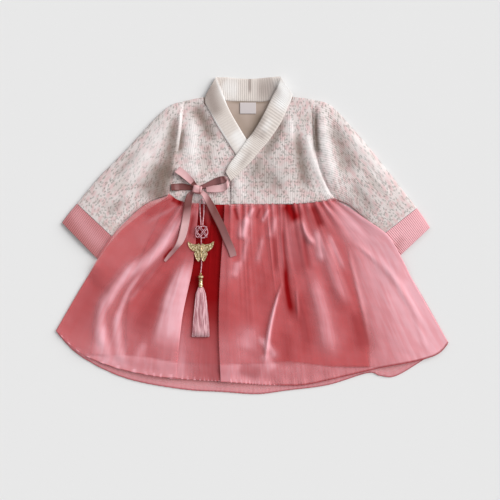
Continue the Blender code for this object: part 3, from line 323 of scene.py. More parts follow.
BACK_RUNS = table(
    Run,
    (-116.3, 55.4, -184, 6, -231, -59, -275.5, -134.4),
    (-104, 46.4, -150, -12, -200, -96, -241.8, -168.6),
    (-92, 43, -118, -24, -156, -110, -178.9, -199.9),
    (-66, 41.6, -78, -34, -98, -124, -100.4, -215.6),
    (-29, 40.4, -34, -38, -42, -126, -41.4, -219.7),
    (0, 41.2, 2, -38, 6, -126, 8, -222.6),
    (30, 42, 38, -38, 52, -122, 50, -217.6),
    (62, 42.2, 84, -32, 104, -116, 107, -209.9),
    (84, 44, 112, -24, 142, -106, 162, -193.3),
    (94, 45.4, 130, -16, 160, -100, 180, -197.2),
    (102, 46.6, 146, -8, 178, -94, 200.3, -198),
    (109, 48, 160, -2, 198, -86, 231.4, -180.6),
    (116.2, 49.4, 175, 4, 225.4, -63, 275.5, -151),
)
LINING_RUNS = table(
    Run,
    (-114, 53, -148, -14, -172, -84, -177, -168),
    (-96, 44, -118, -22, -138, -96, -144, -171.4),
    (-66, 40.2, -80, -30, -98, -106, -100.8, -179),
    (-29, 38.6, -36, -34, -42, -108, -43.4, -180.6),
    (0, 39.4, 4, -34, 10, -108, 9.8, -180.6),
    (40, 41, 44, -34, 50, -106, 51.8, -177.2),
    (80, 43.6, 92, -30, 108, -104, 112, -184.2),
    (114, 48.4, 131, -16, 151, -96, 163.8, -184.8),
)
# The lining's side as it shows through the front, from the hem to the waist
LINING_SIDE = (
    (165.2, -188.0), (163.8, -149.8), (157.0, -110.0), (148.4, -75.6), (133.0, -15.4), (108.0, 12.0),
    (92.0, 44.0),
)
# The skirt front's long soft folds with painted highlights and painted shade, from the left to the right,
# then the panel between its two edges
SKIRT_FOLDS = table(
    Fold,
    (-96, 36, -123, -12, -178, -60, 4, 8, 4.2, 0.94),
    (-148, -36, -187, -66, -209, -112, 7, 6.5, 3.2, 0.9),
    (-194, -72, -213, -116, -205, -166, 5.5, 6.5, 2.6, 0.8),
    (-214, -116, -208, -152, -195, -196, 5, 8, 1.6, 0.72),
    (-146, -46, -176, -84, -188, -128, 2.8, 3.4, 1, 0.6),
    (-184, -98, -189, -138, -178, -194, 3.4, 5.6, 1, 0.74),
    (-86, -26, -107, -92, -115, -166, 4, 12, 3.8, 0.94),
    (-97, -34, -120, -100, -126, -158, 3.4, 9, 1, 0.8),
    (-117.6, -23.8, -152.6, -68.6, -182, -100.8, 2.2, 2.8, 1.4, 0.35),
    (-112, -18.2, -142.8, -57.4, -166.6, -85.4, 4.2, 5.6, -0.8, 0, 0.36),
    (-103.6, -37.8, -138.6, -91, -170.8, -149.8, 5.6, 11.2, -0.8, 0, 0.4),
    (-121.8, -91, -140, -121.8, -161, -163.8, 5.6, 9.8, 0, 0, 0.22),
    (-109.2, -15.4, -117.6, -25.2, -126, -36.4, 1.8, 2.1, -1.6, 0, 0.95),
    (-196, -30, -226, -88.2, -240, -150, 14, 20, -0.4, 0, 0.24),
    (-176.4, -37.8, -196, -65.8, -212.8, -85.4, 5.6, 7, 0, 0, 0.16),
    (-211.4, -144.2, -217, -161, -221.2, -177.8, 9.8, 9.8, 0.8, 0.25),
    (-96.6, 43.4, -124.6, 29.4, -154, 14, 2.1, 2.8, 1.2, 0.35),
    (-106.4, 42, -131.6, 35, -154, 22.4, 4.9, 6.3, 0, 0, 0.3),
    (-117.6, 18.2, -142.8, 4.2, -165.2, -11.2, 7, 9.8, 0.8, 0.12),
    (-114.8, 50.4, -105, 46.2, -92.4, 40.6, 2.8, 3.1, -0.6, 0, 0.85),
    (-85.4, 40.6, -89.6, 15.4, -95.2, -9.8, 3.4, 3.4, 1.6, 0.6),
    (-77, 39.2, -81.2, 18.2, -86.8, -1.4, 2.2, 2.5, 0.8, 0.35),
    (-81.2, 37.8, -85.4, 12.6, -89.6, -7, 1.8, 2.2, -0.6, 0, 0.65),
    (-7, 26.6, -11.2, 9.8, -15.4, -9.8, 4.2, 5.9, 3.4, 0.85),
    (5.6, 39.2, -4.2, 28, -12.6, 8.4, 2.5, 3.1, 1.6, 0.6),
    (25.2, 37.8, 18.2, 26.6, 14, 15.4, 2.1, 2.5, 1.6, 0.6),
    (33.6, 30.8, 29.4, 9.8, 25.2, -8.4, 4.2, 4.8, 2, 0.45),
    (-2, 4, -10, -20, -13, -46, 3.2, 3.6, 1, 0.42),
    (16, 2, 11, -20, 7, -44, 3, 3.4, 0.9, 0.42),
    (30, 8, 32.2, -22, 33, -60, 3, 4, -0.6, 0, 0.55),
    (72, 4, 74.6, -24, 82, -56, 3.2, 4.4, -0.6, 0, 0.55),
    (4, -140, 24, -158, 34, -176, 4, 5, 0.8, 0.6),
    (104, 6, 117, -22, 131, -54, 3, 4, 1, 0.5),
    (-150, -146, -157, -164, -166, -184, 4, 5, 0.6, 0.45),
    (-21, -35, -21, -46.2, -28, -64.4, 5.6, 5.6, 1.6, 0.5),
    (-28, -68.6, -28, -107.8, -22.4, -149.8, 12.6, 14, -0.5, 0, 0.22),
    (14, -37.8, 16.8, -71.4, 14, -107.8, 9.8, 12.6, -0.4, 0, 0.24),
    (-1.4, -121.8, -7, -144.2, -11.2, -163.8, 9.8, 11.2, 1, 0.36),
    (-19.6, -183.4, -2.8, -190.4, 15.4, -194.6, 7, 7, 0, 0, 0.35),
    (-26.6, 40.6, -22.4, 29.4, -19.6, 16.8, 2.5, 2.5, -0.8, 0, 0.75),
    (14, 40.6, 8.4, 30.8, 5.6, 19.6, 2, 2.2, -0.6, 0, 0.55),
    (43, 47, 54.6, 32.2, 66, 16, 8.5, 8.5, -0.9, 0, 1),
    (42, 18.2, 44.8, -19.6, 49, -57.4, 2.1, 2.5, -0.8, 0, 0.65),
    (47.5, -30, 49.5, -77, 60, -124, 2.6, 6.4, -0.9, 0, 1),
    (61.6, -74.2, 63, -93.8, 64.4, -116.2, 1.5, 1.8, 1.2, 0.3),
    (58.8, 21, 63, -21, 67.2, -68.6, 7, 8.4, -0.4, 0, 0.42),
    (67.2, -68.6, 72.8, -119, 81.2, -177.8, 9.1, 12.6, -0.4, 0, 0.42),
    (68.6, 23.8, 75.6, 1.4, 88.2, -14, 3.1, 3.9, 3.8, 0.85),
    (88.2, 12, 94, -14, 98, -42, 4.6, 5, 1.4, 0.72),
    (96.6, 7, 114.8, -54.6, 131.6, -105, 7, 8.4, 3, 0.42),
    (80, -44, 99, -112, 113, -182, 7, 14, 2.6, 0.5),
    (137.2, -99.4, 151.2, -133, 156.8, -169.4, 7, 12.6, -0.5, 0, 0.5),
    (103.6, -65.8, 120.4, -91, 134.4, -110.6, 4.2, 5.6, -0.4, 0, 0.26),
    (80, 46, 91, 27, 98, 6, 5.4, 5.6, -0.6, 0, 0.8),
    (99.4, 32.2, 110.6, 18.2, 114.8, -1.4, 9.8, 11.2, 0.6, 0, 0.14),
    (133, -15.4, 148.4, -75.6, 163.8, -149.8, 2.2, 2.7, 1.2, 0.4),
    (144.2, -12.6, 187.6, -49, 218.4, -88.2, 2.8, 3.6, 1.6, 0.34),
    (170.8, -26.6, 208.6, -75.6, 242.2, -133, 3.4, 3.9, 1.8, 0.36),
    (225.4, -106.4, 235.2, -133, 246.4, -165.2, 2.2, 2.5, 1, 0.3),
    (41, -70, 26.6, -121.8, 18, -182, 1.5, 3, 4.2, 0.95),
    (16.8, -163.8, 22.4, -177.8, 30.8, -191.8, 5.6, 6.3, 1.2, 0.6),
    (44.8, -121.8, 47.6, -161, 50.4, -186.2, 8.4, 9.8, -0.4, 0, 0.36),
    (-40.6, -1.4, -33.6, -37.8, -36.4, -77, 4.9, 6.3, 1.4, 0.14),
)

# Ribbon tie: the route of each stretch, how far it rises over what it lies on, and its roll in degrees
LEFT_ANCHOR = table(
    Lay,
    (-113, 66.5, 4.6),
    (-98, 67.6, 4.8),
    (-88, 66.4, 3.8),
    (-80.6, 65.2, 2),
)
LEFT_LOOP = table(
    Lay,
    (-78, 67.6, 2.4),
    (-86, 76, 4.4, 0.2),
    (-95, 84, 5.4, 0.6),
    (-101.6, 89.6, 5.4, 1),
    (-104.4, 91.6, 5.4, 2.8),
    (-101.4, 89.4, 5.4, 4.6),
    (-95, 84.6, 5.2, 4.8),
    (-89, 79, 4.6, 4.2),
    (-83.6, 73, 3.4, 3.4),
)
RIGHT_LOOP = table(
    Lay,
    (-73, 66.4, 2.4),
    (-63, 69.6, 3.8, 0.2),
    (-51, 74.6, 4.9, 0.6),
    (-40, 77, 5.2, 1.2),
    (-33.4, 75, 5.2, 2.8),
    (-34.6, 69.8, 5.2, 4.8),
    (-42, 65.4, 5.2, 5),
    (-54, 64.2, 4.9, 4.6),
    (-64, 63.4, 3.4, 3.6),
)
# Painted shade and highlight along each stretch: share of its length, how dark its painted shade, how bright
# its painted highlight
ANCHOR_SHADES = (
    (0, 0.94, 0), (0.3, 0.84, 0), (0.7, 0.97, 0), (1, 1, 0),
)
LEFT_LOOP_SHADES = (
    (0, 0.95, 0), (0.42, 0.9, 0), (0.5, 0.35, 0), (0.56, 0, 0.3), (0.8, 0, 0.35), (1, 0.15, 0),
)
RIGHT_LOOP_SHADES = (
    (0, 0.85, 0), (0.3, 0.75, 0), (0.42, 0.7, 0), (0.48, 0.97, 0), (0.54, 0, 0.8), (0.6, 0.1, 0.2),
    (0.8, 0, 0.45), (1, 0.15, 0.1),
)
LEFT_TAIL_SHADES = (
    (0, 0.6, 0), (0.1, 0.9, 0), (0.24, 0.92, 0), (0.33, 0.4, 0), (0.45, 0, 0.3), (0.72, 0, 0.4),
    (0.8, 0.35, 0), (1, 0.1, 0.2),
)
RIGHT_TAIL_SHADES = (
    (0, 0, 0.3), (0.1, 0.1, 0.2), (0.2, 0.85, 0), (0.36, 1, 0), (0.5, 0.85, 0), (0.75, 0.75, 0),
    (0.9, 0.6, 0), (1, 0.5, 0.1),
)
LEFT_TAIL = table(
    Lay,
    (-81.4, 62, 2),
    (-86.6, 56, 4),
    (-89, 46, 5.2, 0, 4),
    (-91.2, 30, 5.4, 0, 6),
    (-94, 12, 5.4, 0, 4),
    (-98.8, -6, 5, 0.2, 16),
    (-106, -18, 3.9, 0.8, 40),
    (-114.8, -28, 2.8, 0.5, 24),
    (-122, -36.6, 1.7, 0, 4),
)
RIGHT_TAIL = table(
    Lay,
    (-73.4, 61.4, 2.2),
    (-66, 55.6, 4, 0, -8),
    (-58.4, 42.6, 5.2, 0.2, -12),
    (-50, 26, 5.25, 0.2, -8),
    (-42, 10, 5.25, 0, 4),
    (-35.4, -6, 5.25, 0, 6),
    (-29, -20.4, 5.25),
    (-26, -30, 4.8),
)
RIBBON_WIDTH = 10.5
KNOT_CENTRE = (-76.4, 63.2)
KNOT_HALF = 6.6
KNOT_HEIGHT = 4.0

# Pendant
PENDANT_CORD = 1.4
LOOP_TOP_Y = 50.0
LOOP_HALF_GAP = 2.6
MAEDEUP_CENTRE = (-70.4, 4.2)
MAEDEUP_REACH = 9.3
BUTTERFLY_CENTRE = (-71.4, -22.4)
BEAD_Y = -54.4
BEAD_RADIUS = 1.6
RING_Y = -58.6
RING_RADIUS = 3.9
RING_HALF_HEIGHT = 2.2
CAP_TOP_Y = -61.2
CAP_LENGTH = 11.4
CAP_RADIUS = 3.0
PENDANT_X = (-70.0, -71.0, -71.6)
# The butterfly from its centre: wing outlines, scrolls (centre, radius, turns, start), studs and a feeler
WING_UPPER = (
    (1.4, 2.0), (2.2, 9.2), (6.0, 8.8), (13.0, 9.8), (17.6, 12.6), (16.0, 5.6), (10.8, 0.4), (5.0, -0.6)
)
WING_LOWER = ((1.2, -1.0), (5.0, -1.4), (8.6, -3.2), (6.6, -10.0), (5.2, -12.8), (2.8, -13.8), (1.2, -9.0))
WING_SCROLLS = (
    ((5.6, 5.4), 2.6, 1.6, 0.4),
    ((10.6, 6.6), 2.5, 1.6, 2.4),
    ((14.6, 9.0), 1.9, -1.5, 0.6),
    ((10.0, 2.9), 1.6, 1.3, 1.4),
    ((5.0, -4.4), 2.3, 1.5, 1.0),
    ((4.4, -9.2), 1.9, -1.5, 2.0),
)
WING_STUDS = (
    (16.0, 10.6, 0.6), (13.2, 3.4, 0.7), (8.1, 3.9, 0.6), (2.9, 3.0, 0.7), (7.0, -4.0, 0.6),
    (2.2, -6.8, 0.6), (5.4, 8.0, 0.6), (12.9, 8.0, 0.6), (3.0, -11.8, 0.6), (3.2, -1.6, 0.6),
)
FEELER = ((0.6, 6.6, 0.5), (1.4, 9.2, 0.5), (3.0, 10.4, 0.3))
# The cap's profile: shares of its length and radius
CAP_STEPS = (
    (0.0, 0.4), (0.04, 0.8), (0.12, 1.0), (0.2, 0.86), (0.3, 0.8), (0.62, 0.84), (0.7, 1.0), (0.8, 1.0),
    (0.86, 0.9), (1.0, 1.0),
)
STRAND_ROWS = 9
STRAND_RADIUS = 0.34

# Sides of a round hem and cord, and the skirt front's size in its cloth's own coordinates
HEM_SIDES = 8
CORD_SIDES = 10
SKIRT_CLOTH = (552.0, 262.0)

# The view, in metres, with the lens that it is seen through
VIEW_CENTRE = (-0.0028, -0.021)
VIEW_WIDTH = 0.700
LENS = 85.0
SENSOR = 36.0
CAMERA_HEIGHT = VIEW_WIDTH * LENS / SENSOR + 0.005
# Shares of the light on a flat white surface: the studio's own, then each soft lamp far away
WORLD_STRENGTH = 0.30
LIGHTS = (
    ("key_window", (1.32, 0.55, 0.95), 0.9, 0.58),
    ("fill_panel", (-1.1, 0.9, 1.6), 0.8, 0.12),
)


def length_property(name, description, value):
    """A size in millimetres that a user can change."""
    return bpy.props.FloatProperty(name=name, description=description, default=value * MM, unit="LENGTH")


class HanbokSizes(bpy.types.PropertyGroup):
    """Sizes that a user would change."""

    jacquard_rib: length_property("Jacquard rib", "Rib spacing of the bodice", 2.6)
    cuff_rib: length_property("Cuff rib", "Rib spacing of the cuffs", 2.6)
    collar_rib: length_property("Collar rib", "Rib spacing of the collar", 2.9)
    knit_wall: length_property("Knit", "Thickness of the knitted cloth", 0.8)
    organza_wall: length_property("Organza", "Thickness of the organza", 0.25)
    ribbon_wall: length_property("Ribbon", "Thickness of the satin ribbon", 0.4)
    tassel_strands: bpy.props.IntProperty(
        name="Tassel threads", description="Threads of the tassel", default=420, min=50, max=900
    )


def colour_property(name, description, hex_value):
    """A colour that a user can change."""
    return bpy.props.StringProperty(name=name, description=description, default=hex_value)


class HanbokColours(bpy.types.PropertyGroup):
    """Colours as sRGB hex values."""

    ivory: colour_property("Ivory", "Ground of the jacquard", "#E3D8D6")
    blush: colour_property("Blush", "Soft roses of the jacquard", "#DDB4B4")
    leaf: colour_property("Leaf", "Small leaves of the jacquard", "#646B60")
    cream: colour_property("Cream", "Collar band", "#E2D8D1")
    jersey: colour_property("Jersey", "Plain inside of the back", "#B9A599")
    organza: colour_property("Organza", "Skirt", "#E66C6F")
    # The dark red of the skirt's folds is painted shade, in part also the colour of stacked layers; the shine
    # colour is a painted highlight
    organza_painted_shade: colour_property("Organza deep", "Depth of the skirt's folds", "#880308")
    organza_shine: colour_property("Organza shine", "Sheen on the skirt's crests", "#FBC0CA")
    lining: colour_property("Lining", "Skirt lining", "#C2494C")
    cuff: colour_property("Cuff", "Rib cuffs", "#CF8A8C")
    ribbon: colour_property("Ribbon", "Satin tie's loops", "#DDA9AC")
    cord: colour_property("Cord", "Pendant's silk cord", "#E6B4BA")
    gold: colour_property("Gold", "Gilt plate, beads and cap", "#F0DDB8")
    tassel: colour_property("Tassel", "Tassel thread", "#F0C2C8")
    tag: colour_property("Tag", "Woven neck tag", "#CFC6C6")
    floor: colour_property("Floor", "Pale floor", "#E8E8E8")


def linear(hex_value):
    """Linear colour of an sRGB hex value."""
    parts = [int(hex_value[i : i + 2], 16) / 255.0 for i in (1, 3, 5)]
    return tuple(p / 12.92 if p <= 0.04045 else ((p + 0.055) / 1.055) ** 2.4 for p in parts) + (1.0,)


def set_inputs(node, inputs):
    """Gives each input of a node, by its name or its place, a link or a value."""
    named = inputs if isinstance(inputs, dict) else dict(enumerate(inputs))
    for key, value in named.items():
        if isinstance(value, bpy.types.NodeSocket):
            node.id_data.links.new(value, node.inputs[key])
        else:
            node.inputs[key].default_value = value


def add_node(tree, kind, inputs=(), out=0, **settings):
    """The output of one new node, made with its settings and its inputs."""
    made = tree.nodes.new("ShaderNode" + kind)
    for key, value in settings.items():
        setattr(made, key, value)
    set_inputs(made, inputs)
    return made.outputs[out]


def new_material(name):
    """A material, what adds a node to it, and its shader."""
    made = bpy.data.materials.new(name)
    made.use_nodes = True
    tree = made.node_tree
    return made, partial(add_node, tree), tree.nodes["Principled BSDF"]


def tinted(add, factor, share, first, second):
    """The first colour, with a share of the second where the factor says."""
    if share < 1.0:
        factor = add("Math", (factor, share), operation="MULTIPLY")
    first, second = (linear(each) if isinstance(each, str) else each for each in (first, second))
    return add("Mix", {0: factor, 6: first, 7: second}, 2, data_type="RGBA")


def shaded(add, base, painted_shade_hex, shine_hex):
    """A colour with painted shade and painted highlights where the cloth's listed folds say so."""
    depth = add("Attribute", out="Fac", attribute_name="painted_fold_shade")
    painted_highlight = add("Attribute", out="Fac", attribute_name="painted_fold_highlight")
    return tinted(add, depth, 0.92, tinted(add, painted_highlight, 0.85, base, shine_hex), painted_shade_hex)


def scattered(add, coordinates, spacing, stretch, size, softness, keep):
    """Small marks scattered a spacing apart, each turned its own way: 1 inside a mark, 0 outside."""
    scaled = add("VectorMath", {0: coordinates, "Scale": 1.0 / spacing}, operation="SCALE")
    centre = add(
        "TexVoronoi", {"Vector": scaled, "Scale": 1.0, "Randomness": 0.9}, "Position", voronoi_dimensions="2D"
    )
    away = add("VectorMath", (scaled, centre), operation="SUBTRACT")
    chance = add("SeparateColor", {"Color": centre.node.outputs["Color"]}, "Red")
    angle = add("Math", (chance, 2 * math.pi), operation="MULTIPLY")
    turned = add("VectorRotate", {"Vector": away, "Angle": angle}, rotation_type="Z_AXIS")
    squeezed = add("VectorMath", (turned, (1.0, stretch, 0.0)), operation="MULTIPLY")
    reach = add("VectorMath", (squeezed,), "Value", operation="LENGTH")
    edge = (reach, size * (1.0 + softness), size * (1.0 - softness))
    inside = add("MapRange", edge, interpolation_type="SMOOTHSTEP")
    kept = add("Math", (chance.node.outputs["Green"], keep), operation="LESS_THAN")
    return add("Math", (inside, kept), operation="MULTIPLY")


def rib_wave(add, place, pitch):
    """A wave across the cloth: 1 in the furrow between two ribs, -1 on a rib."""
    across = add("SeparateXYZ", {"Vector": place}, "X")
    turn = add("Math", (across, 2 * math.pi / pitch), operation="MULTIPLY")
    return add("Math", (turn,), operation="COSINE")


def jacquard_material(colours, sizes):
    """Ribbed cotton knit with a small flower jacquard: matt, its motifs broken up by the stitches."""
    made, add, shader = new_material("ribbed_cotton_flower_knit")
    place = add("UVMap", out="UV")
    wobble = add("TexNoise", {"Vector": place, "Scale": 520.0, "Detail": 3.0}, "Color")
    centred = add("VectorMath", (wobble, (0.5, 0.5, 0.5)), operation="SUBTRACT")
    shifted = add("VectorMath", {0: centred, "Scale": 0.0026}, operation="SCALE")
    bent = add("VectorMath", (place, shifted), operation="ADD")
    # Roses 13.5 mm apart among larger pink patches, on an ivory ground with darker clouds
    rose = scattered(add, bent, 0.0135, 1.2, 0.33, 0.75, 0.85)
    patches = add("TexNoise", {"Vector": bent, "Scale": 90.0, "Detail": 2.0}, "Fac")
    patches = add("MapRange", (patches, 0.50, 0.66), interpolation_type="SMOOTHSTEP")
    pink = add("Math", (rose, patches), operation="MAXIMUM")
    base = tinted(add, pink, 0.62, colours.ivory, colours.blush)
    cloudy = add("TexNoise", {"Vector": place, "Scale": 34.0, "Detail": 2.0}, "Fac")
    cloudy = add("MapRange", (cloudy, 0.5, 0.7), interpolation_type="SMOOTHSTEP")
    base = tinted(add, cloudy, 0.35, base, "#B7A79C")
    # Leaves and sprigs 4.6 and 6.6 mm apart, broken into threads
    leaves = scattered(add, bent, 0.0046, 1.8, 0.40, 0.6, 0.5)
    sprigs = scattered(add, bent, 0.0066, 2.4, 0.36, 0.5, 0.5)
    threads = add("TexNoise", {"Vector": place, "Scale": 900.0, "Detail": 1.0}, "Fac")
    threads = add("MapRange", (threads, 0.30, 0.62), interpolation_type="SMOOTHSTEP")
    green = add("Math", (leaves, sprigs), operation="MAXIMUM")
    green = add("Math", (green, threads), operation="MULTIPLY")
    base = tinted(add, green, 0.78, base, colours.leaf)
    wave = rib_wave(add, place, sizes.jacquard_rib)
    # Painted shade: the furrows between the ribs are painted darker
    furrow_shade = add("MapRange", (wave, 0.0, 1.0), interpolation_type="SMOOTHSTEP")
    base = tinted(add, furrow_shade, 0.14, base, "#A3948C")
    stitch = add("TexNoise", {"Vector": place, "Scale": 1400.0, "Detail": 1.0}, "Fac")
    ribs = add("Math", (wave, -0.25), operation="MULTIPLY")
    height = add("Math", (ribs, stitch), operation="ADD")
    set_inputs(shader, {
        # Painted shade and painted highlights of the folds
        "Base Color": shaded(add, base, "#6B5648", "#F8F3F2"),
        "Roughness": 0.85,
        "Sheen Weight": 0.12,
        "Sheen Roughness": 0.6,
        "Normal": add("Bump", {"Height": height, "Distance": 0.0003, "Strength": 0.5}),
    })
    return made


def rib_knit_material(name, hex_value, furrow_hex, painted_shade_hex, shine_hex, pitch, depth):
    """Rib knit cotton with a little stretch yarn: matt, fuzzy at grazing light, with painted shade in the
    furrows and the folds' painted shade and highlights.
    """
    made, add, shader = new_material(name)
    place = add("UVMap", out="UV")
    wave = rib_wave(add, place, pitch)
    # Painted shade in the furrows between the ribs
    furrow_shade = add("MapRange", (wave, -0.1, 1.0), interpolation_type="SMOOTHSTEP")
    soft = add("TexNoise", {"Vector": place, "Scale": 160.0, "Detail": 3.0}, "Fac")
    tone = tinted(add, soft, 0.22, hex_value, furrow_hex)
    ribbed = tinted(add, furrow_shade, depth, tone, furrow_hex)
    stitch = add("TexNoise", {"Vector": place, "Scale": 1500.0, "Detail": 1.0}, "Fac")
    stitch = add("Math", (stitch, 0.6), operation="MULTIPLY")
    ribs = add("Math", (wave, -depth), operation="MULTIPLY")
    height = add("Math", (ribs, stitch), operation="ADD")
    set_inputs(shader, {
        # Painted shade and painted highlights of the folds
        "Base Color": shaded(add, ribbed, painted_shade_hex, shine_hex),
        "Roughness": 0.9,
        "Sheen Weight": 0.15,
        "Sheen Roughness": 0.5,
        "Normal": add("Bump", {"Height": height, "Distance": 0.0003, "Strength": 0.6}),
    })
    return made


def jersey_material(colours):
    """Single jersey, brushed cotton: matt with fine stitch columns."""
    made, add, shader = new_material("cotton_jersey")
    place = add("UVMap", out="UV")
    cloud = add("TexNoise", {"Vector": place, "Scale": 60.0, "Detail": 3.0}, "Fac")
    tone = tinted(add, cloud, 0.3, colours.jersey, "#A8988E")
    columns = add("TexWave", {"Vector": place, "Scale": 180.0, "Distortion": 1.0, "Detail": 1.0}, "Fac")
    set_inputs(shader, {
        # Painted shade, such as the band's shadow, and painted highlights
        "Base Color": shaded(add, tone, "#77644F", "#D8C8BE"),
        "Roughness": 0.9,
        "Sheen Weight": 0.2,
        "Normal": add("Bump", {"Height": columns, "Distance": 0.00015, "Strength": 0.5}),
    })
    return made


def organza_material(name, colours, alpha):
    """Polyester organza: sheer plain weave, with painted highlights along its folds and a painted dark red in
    them, which is shade and in part the colour of stacked layers and makes them less sheer.
    """
    made, add, shader = new_material(name)
    place = add("UVMap", out="UV")
    depth = add("Attribute", out="Fac", attribute_name="painted_fold_shade")
    painted_highlight = add("Attribute", out="Fac", attribute_name="painted_fold_highlight")
    # The painted highlight is streaked along the cloth's length
    drawn = add("VectorMath", (place, (1.0, 0.09, 1.0)), operation="MULTIPLY")
    streak = add("TexNoise", {"Vector": drawn, "Scale": 260.0, "Detail": 3.0}, "Fac")
    streak = add("MapRange", (streak, 0.35, 0.62, 0.80, 1.06), interpolation_type="SMOOTHSTEP")
    shine = add("Math", (painted_highlight, streak), operation="MULTIPLY")
    lit = tinted(add, shine, 1.0, colours.organza, colours.organza_shine)
    open_cloth = add("Math", (1.0, depth), operation="SUBTRACT")
    # Sheer cloth: each of the sheet's two surfaces lets light through, less where painted shade marks a fold
    # or a painted highlight lies
    folded = add("MapRange", {"Value": depth, "To Min": alpha, "To Max": 0.95})
    shining = add("Math", (painted_highlight, 0.85), operation="MULTIPLY")
    # Plain weave, drawn at 0.9 mm so that it shows: a true organza thread is 0.3 mm
    weave = add("TexNoise", {"Vector": place, "Scale": 1100.0, "Detail": 1.0}, "Fac")
    weave = add("Math", (weave, 0.15), operation="MULTIPLY")
    crinkle = add("TexNoise", {"Vector": place, "Scale": 60.0, "Detail": 3.0}, "Fac")
    height = add("Math", (weave, crinkle), operation="ADD")
    set_inputs(shader, {
        # Painted dark red shade over the painted highlight
        "Base Color": tinted(add, depth, 1.0, lit, colours.organza_painted_shade),
        "Roughness": 0.45,
        "Specular IOR Level": add("Math", (open_cloth, 0.2), operation="MULTIPLY"),
        "Anisotropic": 0.5,
        "Sheen Weight": add("Math", (open_cloth, 0.12), operation="MULTIPLY"),
        "Sheen Roughness": 0.35,
        "Sheen Tint": linear("#FFD9DE"),
        "Alpha": add("Math", (folded, shining), operation="MAXIMUM"),
        "Normal": add("Bump", {"Height": height, "Distance": 0.0005, "Strength": 0.4}),
    })
    return made


def lining_material(colours):
    """Polyester lining: smooth plain weave with a low sheen."""
    made, add, shader = new_material("lining_taffeta")
    place = add("UVMap", out="UV")
    cloud = add("TexNoise", {"Vector": place, "Scale": 10.0, "Detail": 3.0}, "Fac")
    weave = add("TexNoise", {"Vector": place, "Scale": 900.0, "Detail": 1.0}, "Fac")
    set_inputs(shader, {
        "Base Color": tinted(add, cloud, 1.0, colours.lining, "#A8393F"),
        "Roughness": 0.6,
        "Sheen Weight": 0.2,
        "Normal": add("Bump", {"Height": weave, "Distance": 0.0001, "Strength": 0.5}),
    })
    return made


def satin_material(colours):
    """Polyester satin ribbon: long floats give a soft stretched gloss."""
    made, add, shader = new_material("polyester_satin_ribbon")
    place = add("UVMap", out="UV")
    cloud = add("TexNoise", {"Vector": place, "Scale": 55.0, "Detail": 2.0}, "Fac")
    base = tinted(add, cloud, 0.5, colours.ribbon, "#B9787A")
    threads = add("TexNoise", {"Vector": place, "Scale": 900.0, "Detail": 1.0}, "Fac")
    set_inputs(shader, {
        # Painted shade and painted highlights along the ribbon
        "Base Color": shaded(add, base, "#5C1A0E", "#FFE0E0"),
        "Roughness": 0.38,
        "Specular IOR Level": 0.3,
        "Anisotropic": 0.5,
        "Sheen Weight": 0.1,
        "Normal": add("Bump", {"Height": threads, "Distance": 0.0001, "Strength": 0.6}),
    })
    return made


def thread_material(name, hex_value, shade_hex, along=1.0):
    """Silk-like thread on the object's own coordinates: glossy, its shades drawn out along the fibres."""
    made, add, shader = new_material(name)
    own = add("TexCoord", out="Object")
    place = add("VectorMath", (own, (1.0, along, 1.0)), operation="MULTIPLY")
    fibre = add("TexNoise", {"Vector": place, "Scale": 620.0, "Detail": 2.0}, "Fac")
    factor = add("MapRange", (fibre, 0.36, 0.64), interpolation_type="SMOOTHSTEP")
    set_inputs(shader, {
        "Base Color": tinted(add, factor, 1.0, hex_value, shade_hex),
        "Roughness": 0.45,
        "Sheen Weight": 0.15,
        "Normal": add("Bump", {"Height": fibre, "Distance": 0.0002, "Strength": 0.6}),
    })
    return made


def gilt_material(colours):
    """Gilt brass casting: soft satin gloss, with darker grain at random."""
    made, add, shader = new_material("gilt_brass")
    place = add("TexCoord", out="Object")
    grain = add("TexNoise", {"Vector": place, "Scale": 520.0, "Detail": 3.0}, "Fac")
    worn = add("MapRange", (grain, 0.40, 0.60), interpolation_type="SMOOTHSTEP")
    set_inputs(shader, {
        "Base Color": tinted(add, worn, 1.0, colours.gold, "#9C8452"),
        "Metallic": 0.7,
        "Roughness": 0.42,
        "Normal": add("Bump", {"Height": grain, "Distance": 0.0004, "Strength": 0.6}),
    })
    return made


def tag_material(colours):
    """Woven polyester tag: flat and tight, slightly glossy ribs."""
    made, add, shader = new_material("woven_tag")
    place = add("UVMap", out="UV")
    threads = add("TexWave", {"Vector": place, "Scale": 260.0, "Distortion": 0.4}, "Fac", bands_direction="Y")
    set_inputs(shader, {
        "Base Color": tinted(add, threads, 0.3, colours.tag, "#C9BFBE"),
        "Roughness": 0.6,
        "Normal": add("Bump", {"Height": threads, "Distance": 0.00012, "Strength": 0.6}),
    })
    return made


def floor_material(colours):
    """Smooth pale card floor."""
    made, _, shader = new_material("pale_card_floor")
    set_inputs(shader, {"Base Color": linear(colours.floor), "Roughness": 0.9, "Specular IOR Level": 0.1})
    return made


class Laid:
    """The pieces made so far, so that the next can be laid on them."""

    trees = []

    @classmethod
    def add(cls, thing):
        mesh = thing.data
        points = [tuple(v.co / MM) for v in mesh.vertices]
        faces = [tuple(p.vertices) for p in mesh.polygons]
        cls.trees.append(BVHTree.FromPolygons(points, faces))

    @classmethod
    def top_near(cls, x, y, reach):
        """Highest surface within reach of a place, in millimetres."""
        highest = 0.0
        steps = (-1.0, -0.5, 0.0, 0.5, 1.0)
        for i in steps:
            for j in steps:
                start = Vector((x + i * reach, y + j * reach, 80.0))
                for tree in cls.trees:
                    hit = tree.ray_cast(start, Vector((0.0, 0.0, -1.0)))[0]
                    if hit is not None:
                        highest = max(highest, hit.z)
        return highest


def settle(thing, look, node=None):
    """Gives a finished piece its finish and its body, and hides the solid that it stands for."""
    thing.data.materials.clear()
    thing.data.materials.append(look)
    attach(thing, BODY)
    if node:
        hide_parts(node)


def lay(thing, look, node):
    """Finishes a piece that the next ones can lie on."""
    settle(thing, look, node)
    Laid.add(thing)


def stacked(*parts):
    """Places from their parts, each an array or one number."""
    return np.stack(np.broadcast_arrays(*parts), axis=-1)


